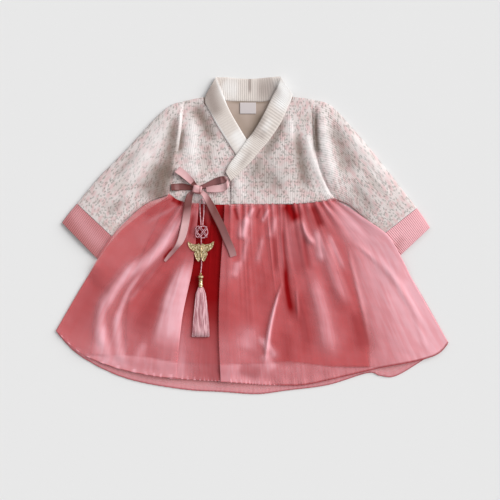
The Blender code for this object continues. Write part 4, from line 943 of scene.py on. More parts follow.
def cloth_object(name, points, quads, uvs):
    """A mesh from points in millimetres, faces of four and a coordinate in metres for each point."""
    mesh = bpy.data.meshes.new(name)
    points, uvs = np.reshape(points, (-1, 3)) * MM, np.reshape(uvs, (-1, 2))
    mesh.vertices.add(len(points))
    mesh.vertices.foreach_set("co", points.ravel())
    mesh.loops.add(quads.size)
    mesh.loops.foreach_set("vertex_index", quads.ravel().astype(np.int32))
    mesh.polygons.add(len(quads))
    mesh.polygons.foreach_set("loop_start", np.arange(0, quads.size, 4, dtype=np.int32))
    mesh.update(calc_edges=True)
    layer = mesh.uv_layers.new(name="cloth")
    layer.data.foreach_set("uv", uvs[quads.ravel()].ravel())
    mesh.validate()
    mesh.shade_smooth()
    made = bpy.data.objects.new(name, mesh)
    bpy.context.scene.collection.objects.link(made)
    return made


def write_shades(thing, deep, shine, copies=2):
    """Painted shade and painted highlight at each point, the same for each copy of the points."""
    for name, values in (("painted_fold_shade", deep), ("painted_fold_highlight", shine)):
        layer = thing.data.attributes.new(name, "FLOAT", "POINT")
        layer.data.foreach_set("value", np.tile(np.ravel(values), copies).astype(np.float32))


def grid_quads(rows, columns, around=False, looped=False):
    """Faces of a grid of points: around joins its last column to the first, looped its last row."""
    lines = np.arange(rows if looped else rows - 1)
    row, column = np.meshgrid(lines, np.arange(columns if around else columns - 1), indexing="ij")
    after = (column + 1) % columns
    here, below = row * columns, (row + 1) % rows * columns
    return stacked(here + column, here + after, below + after, below + column).reshape(-1, 4)


def wall_object(name, outer, inner, uvs, around=False):
    """A closed thin wall between two equal grids: a sheet, or a tube that is open at both ends."""
    rows, columns = outer.shape[:2]
    offset = rows * columns
    index = np.arange(offset).reshape(rows, columns)
    faces = grid_quads(rows, columns, around)
    if around:
        quads = [faces, offset + faces[:, ::-1]]
        rims = ((np.append(index[0], index[0, 0]), True), (np.append(index[-1], index[-1, 0]), False))
    else:
        quads = [faces[:, ::-1], offset + faces]
        rims = ((index[0], False), (index[-1], True), (index[:, 0], True), (index[:, -1], False))
    for line, ahead in rims:
        quad = stacked(line[:-1], line[:-1] + offset, line[1:] + offset, line[1:])
        quads.append(quad if ahead else quad[:, ::-1])
    points = np.concatenate([outer.reshape(-1, 3), inner.reshape(-1, 3)])
    made = cloth_object(name, points, np.concatenate(quads), np.tile(uvs.reshape(-1, 2), (2, 1)))
    face_outwards(made)
    return made


def roll_object(name, line, radius, uvs, looped=False):
    """A round roll or cord along a line, looped or with closed ends. The coordinates say how many sides
    it has, and the radius may differ from place to place and from side to side."""
    places, sides = uvs.shape[:2]
    ahead = np.roll(line, -1, axis=0) - np.roll(line, 1, axis=0) if looped else np.gradient(line, axis=0)
    ahead /= np.linalg.norm(ahead, axis=1, keepdims=True)
    side = np.cross(ahead, (0.0, 0.0, 1.0))
    side /= np.linalg.norm(side, axis=1, keepdims=True)
    up = np.cross(side, ahead)
    angle = (2 * np.pi * np.arange(sides) / sides)[:, None]
    outwards = np.cos(angle) * side[:, None] + np.sin(angle) * up[:, None]
    ring = line[:, None] + np.broadcast_to(radius, (places, sides))[..., None] * outwards
    ring[..., 2] = np.maximum(ring[..., 2], 0.03)
    made = cloth_object(name, ring, grid_quads(places, sides, True, looped), uvs * MM)
    face_outwards(made, close_ends=not looped)
    return made


def face_outwards(thing, close_ends=False):
    """Turns all faces outwards, once any open ends that should be closed are."""
    shape = bmesh.new()
    shape.from_mesh(thing.data)
    if close_ends:
        bmesh.ops.holes_fill(shape, edges=shape.edges[:], sides=0)
    bmesh.ops.recalc_face_normals(shape, faces=shape.faces[:])
    shape.to_mesh(thing.data)
    shape.free()


def smooth_step(value):
    """Rises smoothly from 0 to 1 as the value does."""
    value = np.clip(value, 0.0, 1.0)
    return value * value * (3.0 - 2.0 * value)


def between(before, here, there, after, part):
    """The smooth value a part of the way from here to there."""
    slope_here, slope_there = (there - before) / 2.0, (after - here) / 2.0
    return (
        here * (1 + 2 * part) * (1 - part) ** 2
        + slope_here * part * (1 - part) ** 2
        + there * part * part * (3 - 2 * part)
        - slope_there * part * part * (1 - part)
    )


def through(values, place):
    """Smooth values at places from 0 to 1 along evenly spaced rows."""
    values = np.asarray(values, float)
    last = len(values) - 1
    spot = np.clip(place, 0.0, 1.0) * last
    index = np.minimum(spot.astype(int), last - 1)
    part = (spot - index)[..., None]
    before, after = values[np.maximum(index - 1, 0)], values[np.minimum(index + 2, last)]
    return between(before, values[index], values[index + 1], after, part)


def ripple(x, y, seed, waves=5, length=40.0):
    """A gentle uneven field from a few crossed waves, from -1 to 1, the same each run."""
    draw = random.Random(seed)
    total = np.zeros_like(x)
    for _ in range(waves):
        angle = draw.uniform(0.0, math.pi)
        size = length * draw.uniform(0.5, 1.6)
        across = x * math.cos(angle) + y * math.sin(angle)
        total += np.sin(across * 2 * math.pi / size + draw.uniform(0.0, 6.3))
    return total / waves


def fold_fields(folds, x, y):
    """Height, painted highlight and painted shade that the listed folds give at places: ridges above 0,
    troughs below.
    """
    raised, sunk = np.zeros_like(x), np.zeros_like(x)
    dull, clear = np.ones_like(x), np.ones_like(x)
    part = np.linspace(0.0, 1.0, 25)[:, None]
    for fold in folds:
        start, middle, end = (np.array(fold[i : i + 2]) for i in (0, 2, 4))
        bend = 2.0 * middle - (start + end) / 2.0
        line = (1 - part) ** 2 * start + 2 * part * (1 - part) * bend + part**2 * end
        reach = 2.6 * max(fold.start_width, fold.end_width)
        low, high = line.min(axis=0) - reach, line.max(axis=0) + reach
        near = (x > low[0]) & (x < high[0]) & (y > low[1]) & (y < high[1])
        if not near.any():
            continue
        spots = stacked(x[near], y[near])[:, None, :]
        ahead = np.diff(line, axis=0)[None]
        along = ((spots - line[None, :-1]) * ahead).sum(axis=-1) / (ahead**2).sum(axis=-1)
        held = np.clip(along, 0.0, 1.0)
        away = np.linalg.norm(spots - line[None, :-1] - ahead * held[..., None], axis=-1)
        best = away.argmin(axis=1)
        rows = np.arange(len(best))
        share = (best + held[rows, best]) / 24.0
        width = fold.start_width + (fold.end_width - fold.start_width) * share
        ends = smooth_step(share / 0.22) * smooth_step((1.0 - share) / 0.22)
        fade = smooth_step(share / 0.28) * smooth_step((1.0 - share) / 0.28)
        form = np.exp(-((away[rows, best] / (1.1 * width)) ** 2)) * (0.25 + 0.75 * ends)
        # How strongly the painted highlight and the painted shade show across the fold
        painted_light_share = np.exp(-((away[rows, best] / (1.3 * width)) ** 2.2)) * (0.06 + 0.94 * fade)
        if fold.height > 0.0:
            raised[near] = np.maximum(raised[near], fold.height * form)
        else:
            sunk[near] = np.minimum(sunk[near], fold.height * form)
        dull[near] *= 1.0 - fold.shine * painted_light_share
        clear[near] *= 1.0 - fold.deep * painted_light_share
    return raised + sunk, 1.0 - dull, 1.0 - clear


def panel_places(columns, across, up):
    """x and y of a bodice panel at shares across and up."""
    starts = np.array([column.waist_x for column in columns])
    x = starts[0] + across * (starts[-1] - starts[0])
    waist_x, waist_y, top_x, top_y, flare = (
        np.interp(x, starts, [column[i] for column in columns]) for i in range(5)
    )
    side = np.maximum(0.0, 1.0 - up) ** flare
    return top_x + (waist_x - top_x) * side, waist_y + (top_y - waist_y) * up


def panel_object(name, columns, level, crown, folds, sizes, tucked, ribs=True, steps=7, rows=60):
    """A bodice panel: vertical ribs on its upper side, plain below. Its top is tucked under the collar
    between two shares of its width, and its edges roll down a little into the seams."""
    width = columns[-1].waist_x - columns[0].waist_x
    pitch = sizes.jacquard_rib / MM
    lines = round(width / pitch)
    across, up = np.meshgrid(np.linspace(0, 1, lines * steps + 1), np.linspace(0, 1, rows))
    under_collar = smooth_step((across - tucked[0]) / 0.05 + 1.0)
    under_collar = under_collar * smooth_step((tucked[1] - across) / 0.05 + 1.0)
    reach = up * (1.0 + TUCK / (columns[len(columns) // 2].top_y - 42.0) * under_collar)
    x, y = panel_places(columns, across, reach)
    swell = crown * np.sin(np.pi * across) ** 0.7 * np.sin(np.pi * (0.12 + 0.76 * up)) ** 0.7
    height, shine, deep = fold_fields(folds, x, y)
    edge = smooth_step(np.minimum(across, 1 - across) / 0.04) * smooth_step(up / 0.05)
    form = level + swell
    if ribs:
        height = height + 0.3 * ripple(x, y, name, length=26.0)
        form = form + height * (0.35 + 0.65 * edge) - 0.6 * (1.0 - edge)
        form = np.maximum(form, level - 0.7)
    rise = 0.4 * RIB_RISE * (0.5 - 0.5 * np.cos(2 * np.pi * lines * across)) if ribs else 0.0
    wall = CLOTH_WALL if ribs else CLOTH_WALL - 0.1
    top = stacked(x, y, form + wall + rise)
    bottom = stacked(x, y, form + wall - sizes.knit_wall / MM)
    if not ribs:
        bottom[..., 2] = level
    uvs = stacked(across * lines * pitch, y) * MM
    made = wall_object(name, top[::-1], bottom[::-1], uvs[::-1])
    write_shades(made, deep[::-1], shine[::-1])
    return made


def armhole(line, up):
    """Where a panel's outermost line of ribs is at shares of its height: the sleeve starts there."""
    x = line.top_x + (line.waist_x - line.top_x) * (1.0 - up) ** line.flare
    return stacked(x, line.waist_y + (line.top_y - line.waist_y) * up)


def sleeve_places(sections, across, along, bend, shift):
    """x, y and height of a sleeve at shares across and along it, its start bent onto the armhole."""
    values = through(sections, along)
    place = values[..., 0:2] + (values[..., 2:4] - values[..., 0:2]) * across[..., None]
    if bend is not None:
        first = sections[0]
        chord_x = first.upper_x + (first.lower_x - first.upper_x) * across
        chord_y = first.upper_y + (first.lower_y - first.upper_y) * across
        chord = stacked(chord_x, chord_y)
        place = place + (bend(1.0 - across) - chord) * ((1.0 - along) ** 3)[..., None]
    place[..., 0] += shift * (1.0 - along) ** 6
    return place[..., 0], place[..., 1], values[..., 4]


def tube_top(across, height):
    """Height of a flattened tube's upper side, low and round at its two edges."""
    bulge = np.sqrt(np.maximum(0.0, 1.0 - np.abs(2.0 * across - 1.0) ** 3))
    return SLEEVE_EDGE_TOP + (height - SLEEVE_EDGE_TOP) * bulge


def distances(line):
    """How far along a line each of its points is."""
    steps = np.linalg.norm(np.diff(line, axis=0), axis=1)
    return np.concatenate([[0.0], np.cumsum(steps)])


def flat_tube_object(
    name, sections, pitch, rows, rib_rise, folds, bend=None, shift=0.0, seam_top=None, spread=1.0
):
    """A sleeve or cuff that lies flat: ribs on its upper side, a flat underside, collapsed inside.
    A sleeve starts at the height of its seam and puffs up from there in pleats."""
    first, last = (np.reshape(section[:4], (2, 2)) for section in (sections[0], sections[-1]))
    width = math.dist(*first)
    length = math.dist(first.mean(axis=0), last.mean(axis=0))
    lines = round(width / pitch / spread)
    along = np.linspace(0, 1, rows)[:, None] ** (1.0 if seam_top is None else 1.25)
    across, down = np.broadcast_arrays(np.linspace(0, 1, lines * 6 + 1), along)
    back = np.broadcast_to(np.linspace(1, 0, 40), (rows, 40))
    x, y, height = sleeve_places(sections, across, down, bend, shift)
    form = tube_top(across, height)
    raised, shine, deep = fold_fields(folds, x, y)
    if seam_top is not None:
        for pleat in HEAD_PLEATS:
            side = np.exp(-(((across - pleat.across) / pleat.half_width) ** 2))
            form = form + pleat.height * side * np.exp(-((down / pleat.reach) ** 2))
        edge = smooth_step(np.minimum(across, 1 - across) / 0.08)
        end = smooth_step((1.0 - down) / 0.08)
        form = form + (raised + 0.35 * ripple(x, y, name, length=28.0)) * edge * end
        form = np.minimum(form, seam_top + (form - seam_top) * smooth_step(0.1 + down / 0.06))
        # The knitted edge beside the cuff gets a painted highlight, pale enough to hide its motifs
        shine = np.maximum(shine, 0.9 * smooth_step((down - 0.985) / 0.01))
    form = np.maximum(form, SLEEVE_EDGE_TOP)
    rise = rib_rise * (0.5 - 0.5 * np.cos(2 * np.pi * lines * across))
    ends = smooth_step(np.minimum(across, 1 - across) / 0.02)
    inner_z = np.maximum(np.minimum(form - 0.8, CLOTH_WALL + 3.4), CLOTH_WALL + 0.1)
    inner_z = CLOTH_WALL + 0.06 + (inner_z - CLOTH_WALL - 0.06) * ends

    def surface(inset, top_z, under_z):
        """All round the tube: its upper half, then its underside."""
        halves = []
        for shares, z in ((across, top_z), (back, under_z)):
            shares = inset + (1 - 2 * inset) * shares
            places = sleeve_places(sections, shares, np.broadcast_to(along, shares.shape), bend, shift)
            halves.append(stacked(places[0], places[1], z))
        return np.concatenate(halves, axis=1)

    outside = surface(0.0, form + rise, 0.0)
    inside = surface(0.9 / width, inner_z, CLOTH_WALL)
    shares = np.concatenate([across, back], axis=1)
    uvs = stacked(shares * lines * pitch, along * length) * MM
    made = wall_object(name, outside, inside, uvs, around=True)
    plain = np.zeros(back.shape)
    write_shades(made, *(np.concatenate([values, plain], axis=1) for values in (deep, shine)))
    return made


def band_object(name, pairs, level, thickness, pitch, rib_rise=0.22):
    """A folded rib knit band with rounded edges, its ribs across it."""
    lines = round(band_length(pairs) / pitch)
    shares = 0.5 - 0.5 * np.cos(np.linspace(0, math.pi, 21))
    place, share = np.meshgrid(np.linspace(0, 1, lines * 7 + 1), shares, indexing="ij")
    values = through(pairs, place)
    spot = values[..., 0:2] + (values[..., 2:4] - values[..., 0:2]) * share[..., None]
    round_edge = np.sqrt(np.maximum(0.0, 1.0 - np.abs(2 * share - 1) ** 14))
    swell = 0.2 * np.sin(np.pi * share)
    rise = rib_rise * (0.5 - 0.5 * np.cos(2 * np.pi * lines * place)) * round_edge
    z = level + 0.5 * thickness + (0.5 * thickness + swell) * round_edge + rise
    top = stacked(spot[..., 0], spot[..., 1], z)
    low = level + 0.1 * thickness * (1.0 - round_edge)
    bottom = stacked(spot[..., 0], spot[..., 1], np.minimum(low, z - 0.05))
    uvs = stacked(place * lines * pitch, share * 26.0) * MM
    made = wall_object(name, top, bottom, uvs)
    # Painted shade and painted highlights of the collar
    _, shine, deep = fold_fields(COLLAR_PAINTED_LIGHT, spot[..., 0], spot[..., 1])
    write_shades(made, deep, shine)
    return made


def band_length(pairs):
    """Length of a band's middle line."""
    middle = [((p.inner_x + p.outer_x) / 2, (p.inner_y + p.outer_y) / 2) for p in pairs]
    return sum(math.dist(a, b) for a, b in zip(middle, middle[1:]))


def run_places(runs, share, down):
    """x and y of a skirt layer at shares of the waist and down to the hem."""
    starts = np.array([run.waist_x for run in runs])
    x = starts[0] + share * (starts[-1] - starts[0])
    columns = through(runs, np.interp(x, starts, np.linspace(0.0, 1.0, len(runs))))
    spots = np.moveaxis(columns.reshape(*share.shape, 4, 2), -2, 0)
    rows = len(spots)
    spot = np.clip(down, 0.0, 1.0) * (rows - 1)
    index = np.minimum(spot.astype(int), rows - 2)

    def pick(which):
        which = np.clip(which, 0, rows - 1)
        return np.take_along_axis(spots, which[None, ..., None].repeat(2, axis=-1), axis=0)[0]

    place = between(*(pick(index + step) for step in (-1, 0, 1, 2)), (spot - index)[..., None])
    return place[..., 0], place[..., 1]


def gather_heights(share, down):
    """The waist's gathers: each has its own height, width and length, and some split lower down."""
    draw = random.Random(41)
    total = np.zeros_like(share)
    for number in range(GATHERS + 1):
        centre = number / GATHERS + draw.uniform(-0.006, 0.006)
        height = draw.uniform(1.6, 3.4)
        reach = draw.uniform(0.08, 0.26)
        width = draw.uniform(0.010, 0.016)
        drift = draw.uniform(-0.02, 0.02)
        off = share - centre - drift * down
        form = np.exp(-((off / (width * (1 + 1.5 * down))) ** 2)) * np.exp(-((down / reach) ** 1.3))
        total = np.maximum(total, height * form)
    for number in range(3 * GATHERS):
        centre = draw.uniform(0.0, 1.0)
        height = draw.uniform(0.3, 1.0)
        start = draw.uniform(0.0, 0.35)
        reach = draw.uniform(0.1, 0.5)
        width = draw.uniform(0.004, 0.010)
        off = share - centre - draw.uniform(-0.03, 0.03) * down
        fade = np.exp(-(((down - start) / reach) ** 2))
        total = total + height * 0.6 * fade * np.exp(-((off / width) ** 2))
    return total


def skirt_front_surface(share, down):
    """Middle of the front organza, with the painted shade and painted highlight at each place."""
    x, y = run_places(FRONT_RUNS, share, down)
    y = y + 6.5 * np.exp(-(((down - 0.17) / 0.1) ** 2) - (share / 0.05) ** 2)
    y = y - 7.0 * np.exp(-(((down - 0.26) / 0.13) ** 2) - ((1.0 - share) / 0.05) ** 2)
    left, right = overlap_shares()
    side = np.minimum(share, 1.0 - share)
    over_sleeve = 1.0 - smooth_step((down - 0.56) / 0.12)
    edge = SKIRT_EDGE_LEVEL + (SKIRT_OVER_SLEEVE - SKIRT_EDGE_LEVEL) * over_sleeve
    ground = edge + (SKIRT_LEVEL - edge) * smooth_step(side / (0.03 + 0.05 * down))
    clear = np.clip(np.minimum(np.abs(share - left), np.abs(share - right)) / 0.04, 0.0, 1.0)
    height, painted_highlight, depth = fold_fields(SKIRT_FOLDS, x, y)
    gathers = gather_heights(share, down) * (0.3 + 0.7 * clear)
    height = height * clear * smooth_step(side / 0.02) * (1.0 - 0.4 * smooth_step((down - 0.8) / 0.2))
    hem = smooth_step((down - 0.9) / 0.1)
    puckers = 0.35 * hem * np.sin(2 * np.pi * 95 * share + 3 * np.sin(2 * np.pi * 7 * share))
    waves = 0.5 * hem * (1 + np.sin(2 * np.pi * 17 * share + 2 * np.sin(2 * np.pi * 3 * share)))
    z = ground + 0.8 * gathers + height + puckers * 0.6 + waves + 0.3 + 0.35 * ripple(x, y, 7, 6, 22.0)
    z = np.maximum(z, ground - 0.55)
    swing = OVERLAP_SWING_WAIST + (OVERLAP_SWING_HEM - OVERLAP_SWING_WAIST) * smooth_step(down * 1.3)
    for centre, facing in ((left, 1.0), (right, -1.0)):
        step = (share - centre) / OVERLAP_HALF_SHARE
        within = np.abs(step) < 1.0
        x = np.where(within, x - swing * np.sin(np.pi * step), x)
        z = np.where(within, z + OVERLAP_LIFT * 0.5 * (1.0 - facing * np.sin(np.pi * step / 2.0)), z)
        beside = (step * facing < 0.0) & ~within
        tail = np.exp(-(((np.abs(step) - 1.0) * OVERLAP_HALF_SHARE / 0.05) ** 2))
        z = np.where(beside, z + OVERLAP_LIFT * tail, z)
    # Painted shade between two gathers near the waist, and painted highlights on them
    near_waist = np.exp(-((down / 0.16) ** 1.5))
    gather_shade = 0.66 * smooth_step((0.9 - gathers) / 0.9) * near_waist
    # Painted shade: the panel between the two edges is painted dark red, less so on its left and down at the
    # hem
    into = (share - left) / (right - left)
    inside = smooth_step(into / 0.04) * smooth_step((1.0 - into) / 0.04)
    lifted = 1.0 - smooth_step((into - 0.1) / 0.5)
    rising = smooth_step((down - 0.50 + 0.1 * lifted) / 0.36)
    recess_shade = inside * (0.97 - rising * (0.95 - 0.50 * np.clip(into, 0.0, 1.0)))
    recess_shade = recess_shade * (1.0 - 0.5 * np.exp(-(((into - 0.28 - 0.9 * down) / 0.13) ** 2) - (down / 0.13) ** 2))
    depth = 1.0 - (1.0 - depth * (1.0 - inside)) * (1.0 - gather_shade * (1.0 - 0.6 * inside)) * (1.0 - recess_shade)
    gather_highlight = 0.34 * smooth_step((gathers - 1.2) / 1.4)
    # Painted highlight: paler beyond the lining and out at the right, where fewer layers lie under it, and in
    # broad patches at the upper right, the lower left and low in the panel between the edges
    lining_hem = np.interp(x, [run.hem_x for run in LINING_RUNS], [run.hem_y for run in LINING_RUNS])
    beyond = smooth_step((lining_hem + 1.0 - y) / 2.5) * (1.0 - 0.6 * inside)
    edge_x = np.interp(y, [spot[1] for spot in LINING_SIDE], [spot[0] for spot in LINING_SIDE])
    out = smooth_step(0.5 + (x - edge_x) / (3.0 + 70.0 * (1.0 - smooth_step(down / 0.8))))
    pale_side = out * (0.46 + 0.46 * smooth_step((share - 0.86) / 0.13)) * smooth_step(0.3 + down / 0.2)
    upper_right = np.exp(-(((share - 0.73) / 0.10) ** 2) - ((down - 0.24) / 0.18) ** 2)
    pale_side = np.maximum(pale_side, 0.42 * upper_right)
    low_left = smooth_step((down - 0.62) / 0.2) * (1.0 - smooth_step((share - 0.46) / 0.06))
    pale_side = np.maximum(pale_side, 0.36 * low_left * smooth_step(share / 0.1))
    low_inside = inside * smooth_step((down - 0.58) / 0.32) * (1.0 - smooth_step(into / 0.8))
    pale_side = np.maximum(pale_side, 0.8 * low_inside)
    streaks = 0.18 * (0.5 + 0.5 * ripple(share * 520.0, down * 60.0, 23, 6, 9.0)) * (1.0 - inside)
    pale = (1.0 - pale_side) * (1.0 - 0.42 * beyond) * (1.0 - streaks)
    painted_highlight = 1.0 - (1.0 - painted_highlight * (1.0 - 0.7 * recess_shade)) ** 1.35 * (1.0 - gather_highlight * (1.0 - inside)) * pale
    # The rolled hem draws the left half up in puckers with painted glints, and lies thin at the right with
    # painted shade
    puckered = 1.0 - smooth_step((share - 0.50) / 0.05)
    pulse = (0.5 + 0.5 * np.sin(share * 430.0 + 3.0 * np.sin(share * 41.0))) ** 2
    glints = smooth_step((down - 0.955) / 0.02) * pulse * puckered * smooth_step(share / 0.08)
    painted_highlight = np.maximum(painted_highlight, 0.95 * glints)
    depth = np.maximum(depth, 0.5 * smooth_step((down - 0.985) / 0.01) * (1.0 - puckered))
    z = z - 1.7 * beyond * smooth_step((down - 0.9) / 0.06)
    # A little darkening at random, added to the painted shade
    mottled = 0.10 * (0.5 + 0.5 * ripple(x, y, 19, 5, 46.0))
    # Down at the waist seam the cloth goes in under the bodice's edge
    tuck = 1.0 - smooth_step(down / 0.02)
    z = z - 1.6 * tuck
    y = y + WAIST_TUCK * tuck
    deep = np.clip(depth + mottled * (1.0 - painted_highlight), 0.0, 0.97)
    return x, y, z, deep, np.clip(painted_highlight * (1.0 - depth), 0.0, 0.96)


def overlap_shares():
    """Where the skirt front's two overlapping folds start, as shares of the waist."""
    width = FRONT_RUNS[-1].waist_x - FRONT_RUNS[0].waist_x
    runs = (FRONT_RUNS[LEFT_OVERLAP_RUN], FRONT_RUNS[RIGHT_OVERLAP_RUN])
    return [(run.waist_x - FRONT_RUNS[0].waist_x) / width for run in runs]


def thickened(middle, wall):
    """The two surfaces of a sheet on each side of its middle."""
    across = np.gradient(middle, axis=1)
    down = np.gradient(middle, axis=0)
    normal = np.cross(down, across)
    normal /= np.maximum(np.linalg.norm(normal, axis=2, keepdims=True), 1e-9)
    return middle + normal * wall / 2.0, middle - normal * wall / 2.0


def fold_columns(count):
    """Shares across the skirt's front, closer through the two overlapping folds."""
    centres = overlap_shares()
    clear = OVERLAP_HALF_SHARE * 1.02
    shares = [s for s in np.linspace(0.0, 1.0, count) if all(abs(s - c) > clear for c in centres)]
    for centre in centres:
        shares += list(centre + np.linspace(-1.0, 1.0, 25) * OVERLAP_HALF_SHARE)
    return np.array(sorted(shares))


def build_skirt(colours, sizes):
    """The organza skirt's back, its lining, its front and their rolled hems."""
    organza_wall = sizes.organza_wall / MM
    front_look = organza_material("polyester_organza", colours, 0.30)
    back_look = organza_material("polyester_organza_back", colours, 0.34)
    share, down = np.meshgrid(np.linspace(0, 1, 260), np.linspace(0, 1, 60))
    x, y = run_places(BACK_RUNS, share, down)
    hem = smooth_step((down - 0.9) / 0.1)
    waves = 0.35 * hem * (0.5 + 0.5 * np.sin(2 * np.pi * 60 * share))
    z = 0.45 + waves + 0.12 * (1 + ripple(x, y, 3, 5, 30.0))
    top, bottom = thickened(stacked(x, y, z), organza_wall)
    bottom[..., 2] = np.maximum(bottom[..., 2], 0.02)
    top[..., 2] = np.maximum(top[..., 2], bottom[..., 2] + 0.1)
    uvs = stacked(x, y) * MM
    back = wall_object("skirt_back_organza", top, bottom, uvs)
    # A little darkening at random, and a painted highlight that grows towards the hem
    flat = 0.1 * (0.5 + 0.5 * ripple(x, y, 5, 5, 60.0))
    write_shades(back, flat, 0.15 + 0.45 * hem)
    lay(back, back_look, "skirt_back")
    build_lining(colours)
    shares = fold_columns(312)
    share, down = np.meshgrid(shares, np.linspace(0, 1, 128) ** 1.1)
    x, y, z, depth, painted_highlight = skirt_front_surface(share, down)
    top, bottom = thickened(stacked(x, y, z), organza_wall)
    uvs = stacked(share * SKIRT_CLOTH[0], down * SKIRT_CLOTH[1]) * MM
    front = wall_object("skirt_front_organza", top, bottom, uvs)
    write_shades(front, depth, painted_highlight)
    lay(front, front_look, "skirt_front")
    hems = build_rolled_hems(front_look)


def build_rolled_hems(look):
    """The narrow rolled hem of each organza layer: a fine puckered roll along its edge."""
    share = np.linspace(0.004, 0.996, 420)
    down = np.full_like(share, 0.9985)
    puckered = 1.0 - smooth_step((share - 0.52) / 0.06)
    wave = np.sin(share * 430.0 + 3.0 * np.sin(share * 41.0))
    dots = 0.5 + 0.5 * wave
    radius = 0.62 + (0.12 + 0.2 * wave) * puckered
    x, y, z, _, _ = skirt_front_surface(share[None, :], down[None, :])
    front = stacked(x[0], y[0], z[0])
    back = stacked(*run_places(BACK_RUNS, share, down), 0.75 + 0.15 * np.sin(share * 420.0))
    made = []
    # Painted shade on each roll, in part the colour of its stacked layers, and painted glints on the puckers
    for name, line, deep, shine in (
        ("hem_roll_front", front, 0.15 + 0.45 * (1.0 - puckered), 0.2 + 0.75 * dots**2 * puckered),
        ("hem_roll_back", back, np.full_like(share, 0.4), 0.1 + 0.3 * dots),
    ):
        uvs = stacked(share[:, None] * 600.0, np.arange(HEM_SIDES) / HEM_SIDES * 4.0)
        thing = roll_object(name, line, radius[:, None], uvs)
        write_shades(thing, np.repeat(deep, HEM_SIDES), np.repeat(shine, HEM_SIDES), copies=1)
        settle(thing, look)
        made.append(thing)
    return made


def build_lining(colours):
    """The lining's front and back lie on each other as one flattened tube."""
    look = lining_material(colours)
    share, down = np.meshgrid(np.linspace(0, 1, 120), np.linspace(0, 1, 50))
    x, y = run_places(LINING_RUNS, share, down)
    gather = 0.12 * np.exp(-down / 0.2) * np.sin(2 * np.pi * 22 * share)
    edge = smooth_step(np.minimum(share, 1 - share) / 0.012)
    upper = LINING_TOP - 0.25 + gather * edge
    top = stacked(x, y, np.where(edge > 0.01, upper, LINING_LEVEL + 1.6))
    low = stacked(x, y, LINING_LEVEL + 0.05)[:, ::-1]
    outside = np.concatenate([top, low], axis=1)
    inset = 0.004 + 0.992 * share
    ix, iy = run_places(LINING_RUNS, inset, down)
    inner_top = stacked(ix, iy, LINING_LEVEL + 1.32)
    inner_low = stacked(ix, iy, LINING_LEVEL + 0.9)[:, ::-1]
    inside = np.concatenate([inner_top, inner_low], axis=1)
    uvs = np.concatenate([stacked(x, y), stacked(x, y)[:, ::-1]], axis=1) * MM
    lining = wall_object("skirt_lining_cloth", outside, inside, uvs, around=True)
    lay(lining, look, "skirt_lining")


def build_bodice(colours, sizes):
    """The jersey back and the two jacquard fronts that lap over it."""
    jacquard = jacquard_material(colours, sizes)
    name, tucked = "bodice_back_jersey", (0.26, 0.72)
    back = panel_object(name, BACK_COLUMNS, 0.0, 0.0, BACK_PAINTED_LIGHT, sizes, tucked, ribs=False, steps=3, rows=40)
    lay(back, jersey_material(colours), "bodice_back")
    name, tucked = "front_under_jacquard", (0.30, 1.0)
    under = panel_object(name, UNDER_FRONT_COLUMNS, UNDER_FRONT_LEVEL, 0.3, UNDER_FRONT_FOLDS, sizes, tucked)
    lay(under, jacquard, "front_under")
    name, tucked, level = "front_over_jacquard", (0.0, 0.56), OVER_FRONT_LEVEL
    over = panel_object(name, OVER_FRONT_COLUMNS, level, FRONT_CROWN, OVER_FRONT_FOLDS, sizes, tucked)
    lay(over, jacquard, "front_over")


def build_sleeves(colours, sizes):
    """The puffed jacquard sleeves and their rib knit cuffs."""
    jacquard = bpy.data.materials["ribbed_cotton_flower_knit"]
    pitch = sizes.jacquard_rib / MM
    left_hole = partial(armhole, UNDER_FRONT_COLUMNS[0])
    right_hole = partial(armhole, OVER_FRONT_COLUMNS[-1])
    for side, sections, folds, hole, shift, seam_top in (
        ("left", LEFT_SLEEVE, LEFT_SLEEVE_FOLDS, left_hole, 0.8, 2.9),
        ("right", RIGHT_SLEEVE, RIGHT_SLEEVE_FOLDS, right_hole, -0.8, 4.6),
    ):
        name, rise = f"sleeve_{side}_jacquard", 0.4 * RIB_RISE
        sleeve = flat_tube_object(name, sections, pitch, 90, rise, folds, hole, shift, seam_top, spread=1.3)
        lay(sleeve, jacquard, f"sleeve_{side}")
    pitch = sizes.cuff_rib
    # The cuffs get painted shade in their furrows and folds, and painted highlights on their folds
    knit = rib_knit_material("cotton_rib_cuff", colours.cuff, "#A0525A", "#94463F", "#FFC6CE", pitch, 0.6)
    for side, sections in (("left", LEFT_CUFF), ("right", RIGHT_CUFF)):
        cuff = flat_tube_object(f"cuff_{side}_rib", sections, pitch / MM, 26, 0.45, CUFF_PAINTED_LIGHT)
        lay(cuff, knit, f"cuff_{side}")


def build_collar(colours, sizes):
    """The rib knit band's three stretches: back neck, under front and over front."""
    pitch = sizes.collar_rib
    # The collar gets painted shade in its furrows and folds, and painted highlights
    knit = rib_knit_material("cotton_rib_collar", colours.cream, "#B3A59D", "#84716A", "#FFFFFF", pitch, 0.2)
    for name, pairs, level, thickness in (
        ("collar_back", BACK_BAND, 0.0, 2.0),
        ("collar_under", UNDER_BAND, 2.6, 2.3),
        ("collar_over", OVER_BAND, 5.1, 2.7),
    ):
        band = band_object(name + "_rib", pairs, level, thickness, pitch / MM)
        lay(band, knit, name)
        band_length(pairs) * MM


def build_tag(colours):
    """The woven neck tag: bare, its long upper edge stitched down."""
    low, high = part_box("neck_tag")
    share, down = np.meshgrid(np.linspace(0, 1, 40), np.linspace(0, 1, 26))
    x = low[0] / MM + share * (high[0] - low[0]) / MM
    y = high[1] / MM + 1.3 - down * (high[1] - low[1]) / MM
    z = 1.65 + 0.25 * np.sin(np.pi * down) + 0.15 * down * np.sin(3 * share)
    top = stacked(x, y, z + 0.35)
    bottom = stacked(x, y, z)
    uvs = stacked(x, y) * MM
    tag = wall_object("neck_tag_woven", top, bottom, uvs)
    lay(tag, tag_material(colours), "neck_tag")


